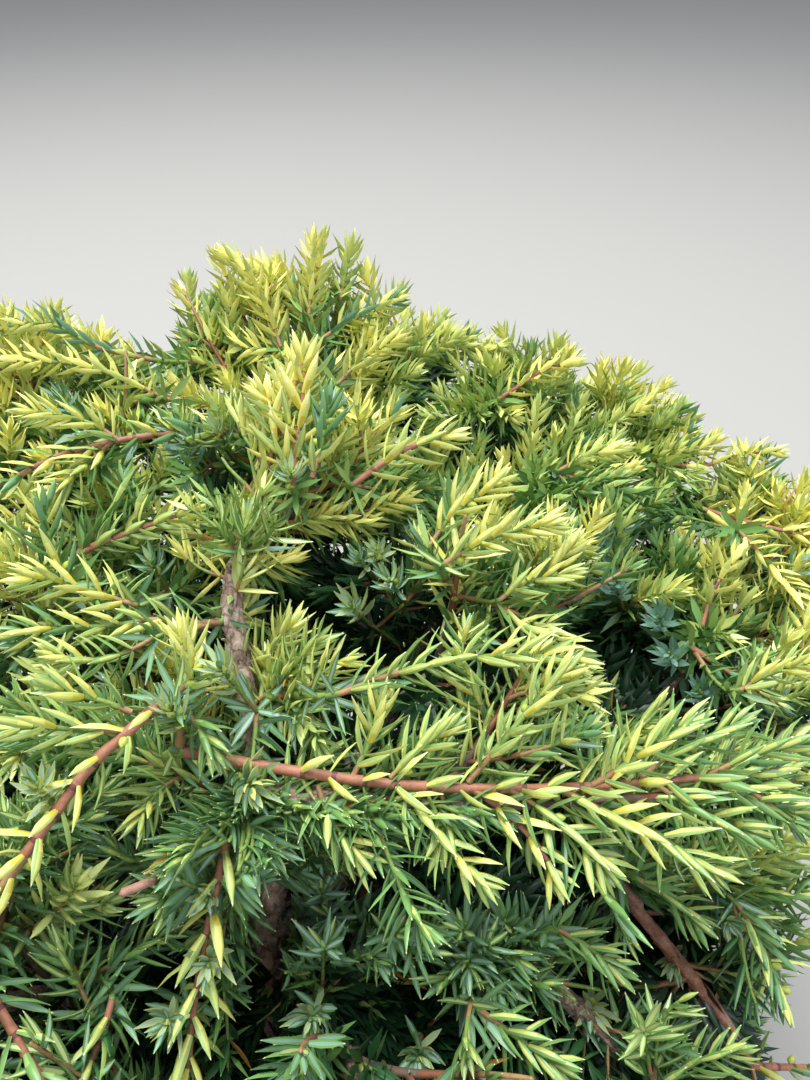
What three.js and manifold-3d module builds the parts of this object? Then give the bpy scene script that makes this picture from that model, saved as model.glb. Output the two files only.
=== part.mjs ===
// A low, spreading golden common juniper in a plain round pot.
// Millimetres, +Z up. The origin is the centre of the pot's flat underside,
// -Y is the side from which the plant is looked at.
import * as THREE from 'three';
import { mergeVertices } from 'three/addons/utils/BufferGeometryUtils.js';
import Module from 'manifold-3d';

const wasm = await Module();
wasm.setup();

// ---- driving sizes --------------------------------------------------------
const GAP = 0.35;              // clearance between touching pieces
const CUT = 0.6;               // clearance left round a piece that cuts another

const POT_HEIGHT = 150;
const POT_BASE_R = 69;         // outer radius at the foot
const POT_TOP_R = 91;          // outer radius just under the rim band
const RIM_R = 97;              // outer radius of the rim band
const RIM_DEPTH = 19;          // height of the rim band
const WALL = 2.6;
const FLOOR = 3.4;
const HOLE_R = 5;              // drainage holes
const HOLE_CIRCLE_R = 51;
const HOLES = 6;
const COMPOST_TOP = 136;       // 14 mm of watering space under the rim

const TRUNK_FOOT = [-8, -12, COMPOST_TOP + GAP];
const TRUNK_TOP = [3, -6, 226];
const TRUNK_FOOT_R = 6.4;      // above the flare
const TRUNK_TOP_R = 4.3;
const FLARE_R = 9.2;           // at the flat cut

const BOUGH_SIDES = 6;
const BOUGH_STEPS = 6;

// Boughs: height of the start on the trunk, radius at both ends, two points that
// bend it on its way, and the mass of foliage that it ends in.
const BOUGHS = {
  bough_crest:      { from: 214, r: [3.3, 2.3], via: [[0, 12, 250], [-6, 40, 276]], into: 'mass_mid_tuft' },
  bough_back:       { from: 205, r: [3.8, 2.6], via: [[6, 42, 226], [4, 92, 244]], into: 'mass_back_tuft' },
  bough_left_back:  { from: 196, r: [3.6, 2.5], via: [[-30, 32, 218], [-58, 84, 238]], into: 'mass_left_back' },
  bough_left:       { from: 188, r: [3.5, 2.5], via: [[-32, 2, 208], [-62, 24, 230]], into: 'mass_left' },
  bough_left_near:  { from: 180, r: [3.2, 2.3], via: [[-30, -24, 196], [-52, -32, 214]], into: 'mass_left_near' },
  bough_near_left:  { from: 172, r: [3.1, 2.2], via: [[-14, -38, 190], [-22, -58, 200]], into: 'mass_near_left' },
  bough_near:       { from: 184, r: [3.2, 2.2], via: [[14, -30, 200], [26, -46, 206]], into: 'mass_near' },
  bough_right_near: { from: 200, r: [3.3, 2.3], via: [[34, -18, 214], [60, -24, 216]], into: 'mass_right_near' },
  bough_right:      { from: 192, r: [3.6, 2.5], via: [[34, 14, 208], [62, 34, 218]], into: 'mass_right' },
  bough_right_back: { from: 210, r: [3.7, 2.5], via: [[28, 34, 226], [54, 84, 234]], into: 'mass_right_back' },
  bough_leader:     { from: 220, r: [3.0, 2.0], via: [[6, -4, 242], [2, -8, 256]], into: 'mass_near_leader' },
};

// Masses of foliage: centre, half sizes along, across and up, heading and rise
// in degrees, and the tips of the longest shoots.
const MASSES = {
  mass_near_leader:  { at: [52, -12, 259], reach: [72, 29, 16], heading: 2, rise: -3, tips: [[128, -5, 261], [84, -42, 246], [66, 18, 274], [-22, -2, 262]] },
  mass_mid_tuft:     { at: [4, 82, 262], reach: [34, 36, 36], heading: 90, rise: 62, tips: [[11, 80, 317], [-24, 66, 300], [34, 84, 298]] },
  mass_centre:       { at: [46, 40, 246], reach: [58, 38, 34], heading: 16, rise: 6, tips: [[50, 40, 296], [16, 20, 280], [96, 54, 268]], facets: 2 },
  mass_back_tuft:    { at: [-2, 156, 244], reach: [48, 42, 36], heading: 90, rise: 8, tips: [[-42, 168, 298], [-32, 186, 303], [6, 184, 310], [34, 180, 292], [-4, 206, 254]] },
  mass_left_back:    { at: [-84, 118, 242], reach: [88, 56, 40], heading: 128, rise: 8, tips: [[-94, 140, 301], [-166, 174, 268], [-50, 122, 297], [-100, 198, 246]] },
  mass_left:         { at: [-104, 32, 236], reach: [90, 54, 40], heading: 168, rise: 8, tips: [[-194, 46, 256], [-120, 66, 286], [-56, 44, 292], [-182, -2, 242]], facets: 2 },
  mass_left_near:    { at: [-80, -45, 220], reach: [80, 52, 35], heading: 206, rise: 8, tips: [[-156, -88, 234], [-48, -24, 264], [-114, -14, 262], [-118, -112, 218]], facets: 2 },
  mass_right_back:   { at: [88, 142, 226], reach: [64, 50, 33], heading: 30, rise: 2, tips: [[50, 184, 281], [84, 180, 270], [130, 186, 257], [84, 204, 230]] },
  mass_far_right:    { at: [154, 110, 218], reach: [44, 44, 25], heading: 32, rise: 4, tips: [[197, 118, 240], [168, 141, 246], [190, 84, 216]], facets: 2 },
  mass_right:        { at: [110, 50, 212], reach: [66, 50, 34], heading: 24, rise: 4, tips: [[100, 66, 252], [176, 44, 222], [142, 74, 238]], facets: 2 },
  mass_right_near:   { at: [90, -40, 198], reach: [44, 42, 30], heading: -24, rise: -4, tips: [[120, -24, 220], [134, -62, 196], [100, -36, 230]], facets: 2 },
  mass_near:         { at: [32, -68, 202], reach: [62, 46, 33], heading: -66, rise: -6, tips: [[48, -122, 198], [60, -54, 234], [16, -50, 236]], facets: 2 },
  mass_near_left:    { at: [-32, -84, 202], reach: [70, 50, 35], heading: 242, rise: -2, tips: [[-62, -154, 196], [-32, -52, 246], [-8, -140, 194]], facets: 2 },
  mass_near_right:   { at: [84, -104, 184], reach: [50, 42, 26], heading: -48, rise: -8, tips: [[122, -138, 176], [90, -150, 180]], facets: 2 },
  mass_low_left:     { at: [-86, 6, 188], reach: [70, 60, 24], heading: 176, rise: -4, tips: [[-166, 2, 182], [-120, 66, 192]], facets: 2 },
  mass_low_back:     { at: [-20, 100, 196], reach: [74, 60, 26], heading: 96, rise: 0, tips: [[-56, 170, 194], [34, 176, 200]], facets: 2 },
  mass_low_right:    { at: [82, 38, 179], reach: [60, 64, 20], heading: 30, rise: -4, tips: [[152, 58, 176], [104, 112, 188]], facets: 2 },
  mass_low_near:     { at: [-2, -88, 172], reach: [72, 44, 17], heading: -4, rise: -2, tips: [[-66, -114, 170], [26, -136, 166]], facets: 2 },
};
const FACETS = 3;              // fineness of a mass before it is cut
const UNEVEN = 0.13;           // depth of the lobes, as a share of the half size
const LOBE_WIDTH = 9;          // larger makes the shoot tips narrower

const COLOURS = {
  pot: 0x34363a, compost: 0x3a2a1f, trunk: 0x6f6157, bough: 0x8a6a58,
  gold: 0xb9bf4a, green: 0x5f8f45, deep: 0x35592f,
};

// ---- solids ---------------------------------------------------------------
function solid(geometry) {
  const g = geometry.clone();
  for (const name of Object.keys(g.attributes)) if (name !== 'position') g.deleteAttribute(name);
  const merged = mergeVertices(g, 1e-3);
  return new wasm.Manifold(new wasm.Mesh({
    numProp: 3,
    vertProperties: new Float32Array(merged.attributes.position.array),
    triVerts: new Uint32Array(merged.index.array),
  }));
}

function geometryOf(manifold) {
  const m = manifold.getMesh();
  const g = new THREE.BufferGeometry();
  g.setAttribute('position', new THREE.BufferAttribute(new Float32Array(m.vertProperties), 3));
  g.setIndex(new THREE.BufferAttribute(new Uint32Array(m.triVerts), 1));
  g.computeVertexNormals();
  return g;
}

// The biggest piece of a cut solid, or the one that holds a point best.
function mainPiece(manifold, near = null) {
  const pieces = manifold.decompose();
  if (pieces.length < 2) return manifold;
  let best = null;
  let score = -Infinity;
  for (const p of pieces) {
    let s = p.volume();
    if (near) {
      const m = p.getMesh().vertProperties;
      let d = Infinity;
      for (let i = 0; i < m.length; i += 3) {
        d = Math.min(d, Math.hypot(m[i] - near[0], m[i + 1] - near[1], m[i + 2] - near[2]));
      }
      s = p.volume() > 30 ? -d : -1e6;
    }
    if (s > score) { score = s; best = p; }
  }
  return best;
}

// Smooth unevenness over the directions of a ball, between about -1 and 1.
function lobes(x, y, z, seed) {
  const a = seed * 1.7 + 0.4;
  return 0.42 * Math.sin(3.1 * x + 2.3 * y - 1.1 * z + a)
    + 0.34 * Math.sin(-2.2 * x + 3.9 * y + 2.7 * z + 2.3 * a)
    + 0.30 * Math.sin(4.6 * x - 3.3 * y + 4.1 * z + 3.1 * a)
    + 0.24 * Math.sin(-5.7 * x - 4.9 * y + 3.8 * z + 0.7 * a);
}

// A closed, lobed mass: an oblong ball with uneven sides, drawn out to its tips.
function foliage(spec, seed, grow = 0) {
  const ball = new THREE.IcosahedronGeometry(1, spec.facets ?? FACETS);
  ball.deleteAttribute('normal');
  ball.deleteAttribute('uv');
  const g = mergeVertices(ball, 1e-4);
  const centre = new THREE.Vector3(...spec.at);
  const h = THREE.MathUtils.degToRad(spec.heading);
  const e = THREE.MathUtils.degToRad(spec.rise);
  const along = new THREE.Vector3(Math.cos(h) * Math.cos(e), Math.sin(h) * Math.cos(e), Math.sin(e));
  const across = new THREE.Vector3(-Math.sin(h), Math.cos(h), 0);
  const up = new THREE.Vector3().crossVectors(along, across);
  const axes = [along, across, up];
  const pos = g.attributes.position;
  const dirs = [];
  for (let i = 0; i < pos.count; i += 1) {
    dirs.push(new THREE.Vector3().fromBufferAttribute(pos, i).normalize());
  }
  const tips = spec.tips.map((t) => {
    const v = new THREE.Vector3(...t).sub(centre);
    const s = new THREE.Vector3(...axes.map((a, k) => v.dot(a) / spec.reach[k]));
    const far = s.length();
    s.normalize();
    let nearest = 0;
    dirs.forEach((d, i) => { if (d.dot(s) > dirs[nearest].dot(s)) nearest = i; });
    dirs[nearest].copy(s);
    return { s, far, nearest };
  });
  const size = dirs.map((s, i) => {
    const r = 1 + UNEVEN * lobes(s.x, s.y, s.z, seed);
    let drawn = 0;
    for (const t of tips) {
      if (t.nearest === i) return t.far;
      drawn = Math.max(drawn, (t.far - r) * 0.8 * Math.exp(LOBE_WIDTH * (s.dot(t.s) - 1)));
    }
    return r + drawn;
  });
  dirs.forEach((s, i) => {
    const p = centre.clone();
    axes.forEach((a, k) => p.addScaledVector(a, s.getComponent(k) * spec.reach[k] * size[i]));
    pos.setXYZ(i, p.x, p.y, p.z);
  });
  if (grow > 0) {
    g.computeVertexNormals();
    const n = g.attributes.normal;
    for (let i = 0; i < pos.count; i += 1) {
      pos.setXYZ(i, pos.getX(i) + n.getX(i) * grow, pos.getY(i) + n.getY(i) * grow, pos.getZ(i) + n.getZ(i) * grow);
    }
    g.deleteAttribute('normal');
  }
  return solid(g);
}

// A limb: a cylinder bent along a curve, with its own radius along the way.
function limb(points, radiusAt, sides, steps, grow = 0) {
  const curve = new THREE.CatmullRomCurve3(points.map((p) => new THREE.Vector3(...p)), false, 'centripetal');
  const frames = curve.computeFrenetFrames(steps, false);
  const g = new THREE.CylinderGeometry(1, 1, 1, sides, steps, false);
  const pos = g.attributes.position;
  for (let i = 0; i < pos.count; i += 1) {
    const step = Math.round((pos.getY(i) + 0.5) * steps);
    const t = step / steps;
    const c = curve.getPointAt(t);
    const tangent = frames.tangents[step];
    if (step === 0) c.addScaledVector(tangent, -grow);
    if (step === steps) c.addScaledVector(tangent, grow);
    const r = radiusAt(t) + grow;
    const x = pos.getX(i);
    const z = pos.getZ(i);
    c.addScaledVector(frames.normals[step], x * r);
    c.addScaledVector(frames.binormals[step], -z * r);
    pos.setXYZ(i, c.x, c.y, c.z);
  }
  let out = solid(g);
  if (out.volume() < 0) throw new Error('limb is inside out');
  return out;
}

function pointOnTrunk(z) {
  const t = (z - TRUNK_FOOT[2]) / (TRUNK_TOP[2] - TRUNK_FOOT[2]);
  return TRUNK_FOOT.map((v, k) => (k === 2 ? z : v + (TRUNK_TOP[k] - v) * t));
}

// The trunk leans a little, tapers, and flares at its flat cut on the compost.
function trunkSolid(grow = 0) {
  const g = new THREE.CylinderGeometry(1, 1, 1, 10, 8, false);
  const pos = g.attributes.position;
  const low = TRUNK_FOOT[2] - grow;
  const high = TRUNK_TOP[2] + grow;
  for (let i = 0; i < pos.count; i += 1) {
    const f = (pos.getY(i) + 0.5) ** 1.5;
    const z = low + (high - low) * f;
    const a = Math.atan2(pos.getZ(i), pos.getX(i));
    const round = Math.hypot(pos.getX(i), pos.getZ(i));
    const flare = (FLARE_R - TRUNK_FOOT_R) * Math.exp(-(z - low) / 7);
    const r = (TRUNK_FOOT_R + (TRUNK_TOP_R - TRUNK_FOOT_R) * f + flare
      + (0.35 + 0.6 * Math.exp(-(z - low) / 9)) * Math.sin(3 * a + 0.02 * z) + grow) * round;
    const c = pointOnTrunk(z);
    pos.setXYZ(i, c[0] + r * Math.cos(a), c[1] - r * Math.sin(a), z);
  }
  return solid(g);
}

// ---- build ----------------------------------------------------------------
const plant = new THREE.Group();
plant.name = 'potted_juniper';

function add(name, manifold, colour, roughness = 0.85) {
  const material = new THREE.MeshStandardMaterial({ color: colour, roughness, metalness: 0 });
  const mesh = new THREE.Mesh(geometryOf(manifold), material);
  mesh.name = name;
  plant.add(mesh);
}

// Pot: one turned shell with a rolled rim band, a flat foot and drainage holes.
const side = (z) => POT_BASE_R + (POT_TOP_R - POT_BASE_R) * (z / (POT_HEIGHT - RIM_DEPTH));
const shoulder = POT_HEIGHT - RIM_DEPTH;
const shell = [
  [0, 0], [POT_BASE_R - 1.5, 0], [side(1.5), 1.5], [side(60), 60], [side(shoulder - 2), shoulder - 2],
  [RIM_R - 1.6, shoulder], [RIM_R - 0.6, shoulder + 2], [RIM_R, POT_HEIGHT - 2], [RIM_R - 1, POT_HEIGHT],
  [RIM_R - WALL - 0.6, POT_HEIGHT], [RIM_R - WALL - 1.6, shoulder + 4], [side(shoulder - 2) - WALL, shoulder - 1],
  [side(60) - WALL, 60], [side(FLOOR) - WALL, FLOOR], [0, FLOOR],
].map(([r, z]) => new THREE.Vector2(r, z));
const turned = new THREE.LatheGeometry(shell, 28);
turned.rotateX(Math.PI / 2);
let pot = solid(turned);
if (pot.volume() < 0) throw new Error('pot is inside out');
for (let i = 0; i < HOLES; i += 1) {
  const a = (i + 0.5) * (2 * Math.PI / HOLES);
  const drill = new THREE.CylinderGeometry(HOLE_R, HOLE_R, FLOOR * 4, 8);
  drill.rotateX(Math.PI / 2);
  drill.translate(HOLE_CIRCLE_R * Math.cos(a), HOLE_CIRCLE_R * Math.sin(a), FLOOR / 2);
  pot = pot.subtract(solid(drill));
}
add('pot', pot, COLOURS.pot, 0.6);

// Compost: fills the pot up to the watering space.
const inner = (z) => (z <= shoulder - 1
  ? side(z) - WALL
  : side(shoulder - 2) - WALL + (z - (shoulder - 1)) / 5 * (RIM_R - 1.6 - side(shoulder - 2)));
const fill = [
  [0, FLOOR + GAP], [side(FLOOR) - WALL - 1, FLOOR + GAP], [side(60) - WALL - 0.6, 60],
  [inner(shoulder - 3) - 0.7, shoulder - 3], [inner(shoulder - 3) - 0.7, COMPOST_TOP - 3],
  [inner(shoulder - 3) - 6, COMPOST_TOP - 0.8], [30, COMPOST_TOP], [0, COMPOST_TOP],
].map(([r, z]) => new THREE.Vector2(r, z));
const packed = new THREE.LatheGeometry(fill, 28);
packed.rotateX(Math.PI / 2);
add('compost', solid(packed), COLOURS.compost, 0.98);

add('trunk', trunkSolid(), COLOURS.trunk, 0.9);

const names = Object.keys(MASSES);
const keepClear = [trunkSolid(CUT)];
for (const [name, b] of Object.entries(BOUGHS)) {
  const end = MASSES[b.into].at;
  const points = [pointOnTrunk(b.from), ...b.via, end];
  const radius = (t) => b.r[0] + (b.r[1] - b.r[0]) * t;
  let piece = limb(points, radius, BOUGH_SIDES, BOUGH_STEPS);
  for (const other of keepClear) piece = piece.subtract(other);
  piece = piece.subtract(foliage(MASSES[b.into], names.indexOf(b.into) + 1, CUT));
  piece = mainPiece(piece, pointOnTrunk(b.from));
  add(name, piece, COLOURS.bough, 0.8);
  // What the masses and later boughs keep clear of is the same piece, fatter.
  let wide = limb(points, radius, BOUGH_SIDES, BOUGH_STEPS, CUT);
  wide = wide.subtract(foliage(MASSES[b.into], names.indexOf(b.into) + 1, 0));
  keepClear.push(mainPiece(wide, pointOnTrunk(b.from)));
}

const tones = [COLOURS.gold, COLOURS.green, COLOURS.deep];
names.forEach((name, i) => {
  const spec = MASSES[name];
  let mass = foliage(spec, i + 1);
  for (const other of keepClear) mass = mass.subtract(other);
  mass = mainPiece(mass);
  keepClear.push(foliage(spec, i + 1, CUT));
  const tone = spec.at[2] > 240 ? 0 : spec.at[2] > 205 ? 1 : 2;
  add(name, mass, tones[tone], 0.8);
});

export default plant;
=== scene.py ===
# A low, spreading golden common juniper in a plain round pot, grown round its limbs.
# Blender works in metres; the plant is grown in millimetres and scaled when its meshes are made.
import math

import bpy
import numpy as np
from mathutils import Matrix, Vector, noise
from mathutils.bvhtree import BVHTree


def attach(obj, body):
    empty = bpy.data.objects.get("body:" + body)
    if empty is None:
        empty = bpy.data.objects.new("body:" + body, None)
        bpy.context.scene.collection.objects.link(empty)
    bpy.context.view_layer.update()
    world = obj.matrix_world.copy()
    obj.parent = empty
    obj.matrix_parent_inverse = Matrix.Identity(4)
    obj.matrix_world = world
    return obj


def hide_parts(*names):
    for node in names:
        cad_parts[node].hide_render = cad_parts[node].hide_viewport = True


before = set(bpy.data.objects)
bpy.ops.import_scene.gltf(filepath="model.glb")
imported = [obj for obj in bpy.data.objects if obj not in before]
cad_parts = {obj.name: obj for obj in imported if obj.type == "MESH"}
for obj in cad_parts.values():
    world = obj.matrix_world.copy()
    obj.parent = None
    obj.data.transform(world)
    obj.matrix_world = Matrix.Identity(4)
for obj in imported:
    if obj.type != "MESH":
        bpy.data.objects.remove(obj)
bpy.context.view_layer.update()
rng = np.random.default_rng(5077)
UP = np.array([0.0, 0.0, 1.0])

# ---------------------------------------------------------------- camera
EYE = np.array([36.0, -108.0, 410.0])
PITCH = math.radians(39.3)          # below the horizon
FOCAL = 810.0                       # pixels, on the 810 x 1080 image
AHEAD = np.array([0.0, math.cos(PITCH), -math.sin(PITCH)])
DOWN = np.array([0.0, -math.sin(PITCH), -math.cos(PITCH)])

cam_data = bpy.data.cameras.new("camera")
cam = bpy.data.objects.new("camera", cam_data)
bpy.context.scene.collection.objects.link(cam)
cam_data.lens, cam_data.sensor_width, cam_data.sensor_fit = 27.0, 36.0, "AUTO"
cam_data.clip_start, cam_data.clip_end = 0.005, 30.0
cam.location = tuple(EYE / 1000)
cam.rotation_euler = (math.pi / 2 - PITCH, 0, 0)
bpy.context.scene.camera = cam


def at(u, v, depth):
    """The point that shows at pixel u, v of the image, that far along the view."""
    ray = AHEAD + (u - 405) / FOCAL * np.array([1.0, 0, 0]) + (v - 540) / FOCAL * DOWN
    return EYE + depth * ray


def seen(p):
    """Pixel u, v and depth of points."""
    d = np.asarray(p, float) - EYE
    depth = d @ AHEAD
    safe = np.maximum(depth, 1.0)
    return 405 + FOCAL * d[..., 0] / safe, 540 + FOCAL * (d @ DOWN) / safe, depth


# ---------------------------------------------------------------- materials
def linear(rgb):
    c = np.asarray(rgb, float) / 255
    return tuple(np.where(c <= 0.04045, c / 12.92, ((c + 0.055) / 1.055) ** 2.4))


def plain(name, rgb, rough=0.38, specular=0.58):
    m = bpy.data.materials.new(name)
    m.use_nodes = True
    b = m.node_tree.nodes["Principled BSDF"]
    b.inputs["Base Color"].default_value = (*linear(rgb), 1)
    b.inputs["Roughness"].default_value = rough
    b.inputs["Specular IOR Level"].default_value = specular
    m.diffuse_color = (*linear(rgb), 1)
    return m


NEEDLE_COLOURS = [
    ("needle_amber", (228, 206, 74)),
    ("needle_gold", (238, 233, 128)),
    ("needle_pale_gold", (240, 242, 164)),
    ("needle_lime", (204, 213, 120)),
    ("needle_lime_green", (156, 186, 106)),
    ("needle_leaf", (112, 154, 84)),
    ("needle_leaf_deep", (72, 116, 64)),
    ("needle_forest", (44, 88, 48)),
    # The deepest green is painted shade: it goes to covered needles and dark fill sprays.
    ("needle_painted_shade", (27, 58, 34)),
    ("needle_sea", (104, 150, 112)),
    ("needle_sea_deep", (58, 102, 76)),
    ("needle_frost", (172, 204, 200)),
    ("needle_frost_dim", (132, 172, 152)),
    ("needle_cream", (240, 238, 200)),
    ("needle_straw", (190, 142, 76)),
    ("needle_frost_gold", (206, 220, 150)),
]
NEEDLES = [plain(n, c) for n, c in NEEDLE_COLOURS]
AMBER, GOLD, PALE, LIME, LIMEGREEN, LEAF, LEAFDEEP, FOREST, PAINTED_SHADE_GREEN, SEA, SEADEEP, FROST, FROSTDIM, CREAM, STRAW, FROSTGOLD = range(16)
# What a needle of each kind shows: outer side at its base, middle and tip, its margins, the band
# on its inner side, the point, and its whole inner side where it is made plainly.
KINDS = np.array([
    [AMBER, GOLD, LIME, LIME, FROSTGOLD, CREAM, GOLD],                # 0 gold
    [GOLD, LIME, LIME, LIMEGREEN, FROSTGOLD, CREAM, LIME],            # 1 lime
    [LIME, LIME, LIMEGREEN, LEAF, FROSTGOLD, CREAM, LIMEGREEN],       # 2 fresh green
    [LIMEGREEN, LEAF, LEAF, LEAF, FROSTDIM, PALE, LEAF],              # 3 leaf green
    [LEAFDEEP, LEAFDEEP, LEAF, LEAF, FROSTDIM, LIME, LEAFDEEP],       # 4 deep green
    # Kind 5 comes from the lowest tones, which the shade field pulls down: partly painted shade.
    [FOREST, FOREST, FOREST, LEAFDEEP, SEADEEP, LEAF, FOREST],        # 5 shade green
    [LEAFDEEP, SEA, SEA, LEAF, FROST, FROSTGOLD, FROSTDIM],           # 6 sea green
    [STRAW, STRAW, STRAW, STRAW, STRAW, STRAW, STRAW],                # 7 dead
    [LIMEGREEN, LEAF, LIME, LIME, FROST, PALE, FROSTDIM],             # 8 frosted with a gold edge
    # Kind 9 is painted shade, for covered needles and dark fill sprays.
    [PAINTED_SHADE_GREEN, PAINTED_SHADE_GREEN, PAINTED_SHADE_GREEN, FOREST, PAINTED_SHADE_GREEN, FOREST, PAINTED_SHADE_GREEN],  # 9 deepest shade
    # Kinds 10 and 11 go to the best-lit golden needles: painted light.
    [AMBER, GOLD, GOLD, LIME, PALE, CREAM, GOLD],                     # 10 brightest gold
    [AMBER, GOLD, PALE, GOLD, PALE, CREAM, PALE],                     # 11 gold all over
])


def bark_material(name, dark, light, warm, scale=1.0, rough=0.85, bump=0.35, gap=0.0):
    """Rough bark: fine grain along the limb, blotches, and, where gap is above 0, plates with darker, sunken cracks
    between them.
    """
    m = bpy.data.materials.new(name)
    m.use_nodes = True
    nt = m.node_tree
    b = nt.nodes["Principled BSDF"]
    tc = nt.nodes.new("ShaderNodeTexCoord")
    big = nt.nodes.new("ShaderNodeTexNoise")
    big.inputs["Scale"].default_value = 190 * scale
    big.inputs["Detail"].default_value = 6
    big.inputs["Roughness"].default_value = 0.62
    fine = nt.nodes.new("ShaderNodeTexNoise")
    fine.inputs["Scale"].default_value = 900 * scale
    fine.inputs["Detail"].default_value = 5
    fine.inputs["Roughness"].default_value = 0.7
    ramp = nt.nodes.new("ShaderNodeValToRGB")
    ramp.color_ramp.elements[0].position = 0.32
    ramp.color_ramp.elements[0].color = (*linear(dark), 1)
    ramp.color_ramp.elements[1].position = 0.72
    ramp.color_ramp.elements[1].color = (*linear(light), 1)
    e = ramp.color_ramp.elements.new(0.5)
    e.color = (*linear(warm), 1)
    add = nt.nodes.new("ShaderNodeMath")
    add.operation = "MULTIPLY_ADD"
    add.inputs[1].default_value = 0.35
    add.inputs[2].default_value = 0.0
    total = nt.nodes.new("ShaderNodeMath")
    total.operation = "ADD"
    keep = nt.nodes.new("ShaderNodeMath")
    keep.operation = "MULTIPLY"
    keep.inputs[1].default_value = 0.68
    rmap = nt.nodes.new("ShaderNodeMapRange")
    rmap.inputs["To Min"].default_value = rough - 0.12
    rmap.inputs["To Max"].default_value = min(1.0, rough + 0.1)
    bumpn = nt.nodes.new("ShaderNodeBump")
    bumpn.inputs["Strength"].default_value = bump
    bumpn.inputs["Distance"].default_value = 0.0004
    for t in (big, fine):
        nt.links.new(tc.outputs["Object"], t.inputs["Vector"])
    flat = nt.nodes.new("ShaderNodeMapping")
    flat.inputs["Scale"].default_value = (1.0, 1.0, 0.5)
    plates = nt.nodes.new("ShaderNodeTexVoronoi")
    plates.feature = "DISTANCE_TO_EDGE"
    plates.inputs["Scale"].default_value = 250 * scale
    gaps = nt.nodes.new("ShaderNodeMapRange")
    gaps.inputs["From Min"].default_value = 0.0
    gaps.inputs["From Max"].default_value = 0.11
    gaps.inputs["To Min"].default_value = -gap
    gaps.inputs["To Max"].default_value = 0.15 * gap
    nt.links.new(tc.outputs["Object"], flat.inputs["Vector"])
    warp = nt.nodes.new("ShaderNodeVectorMath")
    warp.operation = "MULTIPLY_ADD"
    warp.inputs[1].default_value = (0.006, 0.006, 0.006)
    nt.links.new(big.outputs["Color"], warp.inputs[0])
    nt.links.new(flat.outputs["Vector"], warp.inputs[2])
    nt.links.new(warp.outputs["Vector"], plates.inputs["Vector"])
    nt.links.new(plates.outputs["Distance"], gaps.inputs["Value"])
    nt.links.new(fine.outputs["Fac"], add.inputs[0])
    nt.links.new(big.outputs["Fac"], keep.inputs[0])
    nt.links.new(add.outputs[0], total.inputs[0])
    nt.links.new(keep.outputs[0], total.inputs[1])
    plated = nt.nodes.new("ShaderNodeMath")
    plated.operation = "ADD"
    nt.links.new(total.outputs[0], plated.inputs[0])
    nt.links.new(gaps.outputs["Result"], plated.inputs[1])
    nt.links.new(plated.outputs[0], ramp.inputs["Fac"])
    nt.links.new(ramp.outputs["Color"], b.inputs["Base Color"])
    nt.links.new(fine.outputs["Fac"], rmap.inputs["Value"])
    nt.links.new(rmap.outputs["Result"], b.inputs["Roughness"])
    nt.links.new(plated.outputs[0], bumpn.inputs["Height"])
    nt.links.new(bumpn.outputs["Normal"], b.inputs["Normal"])
    return m


BARK = bark_material("bark_old", (98, 76, 66), (232, 206, 186), (168, 138, 120), 1.2, 0.85, 0.8, 0.10)
BARK_KNOB = bark_material("bark_knob", (150, 112, 90), (246, 218, 190), (206, 168, 138), 1.6, 0.8, 0.6)
BARK_RED = bark_material("bark_red", (104, 64, 52), (218, 170, 150), (164, 112, 92), 1.3, 0.7, 0.7, 0.03)
BARK_GREY = bark_material("bark_grey", (66, 54, 48), (208, 190, 176), (144, 122, 108), 1.3, 0.85, 0.9, 0.12)


def twig(name, rgb, rough=0.6, bump=0.25):
    """Thin bark: one colour with finer and darker streaks."""
    c = np.array(rgb, float)
    return bark_material(name, c * 0.72, np.minimum(c * 1.16, 255), c, 2.4, rough, bump)


TWIGS = [
    twig("twig_grey_brown", (112, 92, 80), 0.8),
    twig("twig_red_brown", (136, 88, 64), 0.65),
    twig("twig_tan", (160, 124, 86), 0.6),
    twig("twig_green", (122, 148, 72), 0.6, 0.12),
    twig("twig_pink", (162, 108, 84), 0.55, 0.45),
    twig("twig_node", (112, 64, 60), 0.55),
    twig("twig_bud", (178, 192, 84), 0.5, 0.1),
    twig("twig_stub", (164, 122, 106), 0.75, 0.5),
]
T_GREY, T_RED, T_TAN, T_GREEN, T_PINK, T_NODE, T_BUD, T_STUB = range(8)

# ---------------------------------------------------------------- limbs, as in the model
TRUNK_FOOT, TRUNK_TOP = np.array([-8.0, -12, 136.35]), np.array([3.0, -6, 226])
BOUGHS = {
    "bough_crest": (214, (3.3, 2.3), [(0, 12, 250), (-6, 40, 276)], "mass_mid_tuft"),
    "bough_back": (205, (3.8, 2.6), [(6, 42, 226), (4, 92, 244)], "mass_back_tuft"),
    "bough_left_back": (196, (3.6, 2.5), [(-30, 32, 218), (-58, 84, 238)], "mass_left_back"),
    "bough_left": (188, (3.5, 2.5), [(-32, 2, 208), (-62, 24, 230)], "mass_left"),
    "bough_left_near": (180, (3.2, 2.3), [(-30, -24, 196), (-52, -32, 214)], "mass_left_near"),
    "bough_near_left": (172, (3.1, 2.2), [(-14, -38, 190), (-22, -58, 200)], "mass_near_left"),
    "bough_near": (184, (3.2, 2.2), [(14, -30, 200), (26, -46, 206)], "mass_near"),
    "bough_right_near": (200, (3.3, 2.3), [(34, -18, 214), (60, -24, 216)], "mass_right_near"),
    "bough_right": (192, (3.6, 2.5), [(34, 14, 208), (62, 34, 218)], "mass_right"),
    "bough_right_back": (210, (3.7, 2.5), [(28, 34, 226), (54, 84, 234)], "mass_right_back"),
    "bough_leader": (220, (3.0, 2.0), [(6, -4, 242), (2, -8, 256)], "mass_near_leader"),
}
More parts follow.
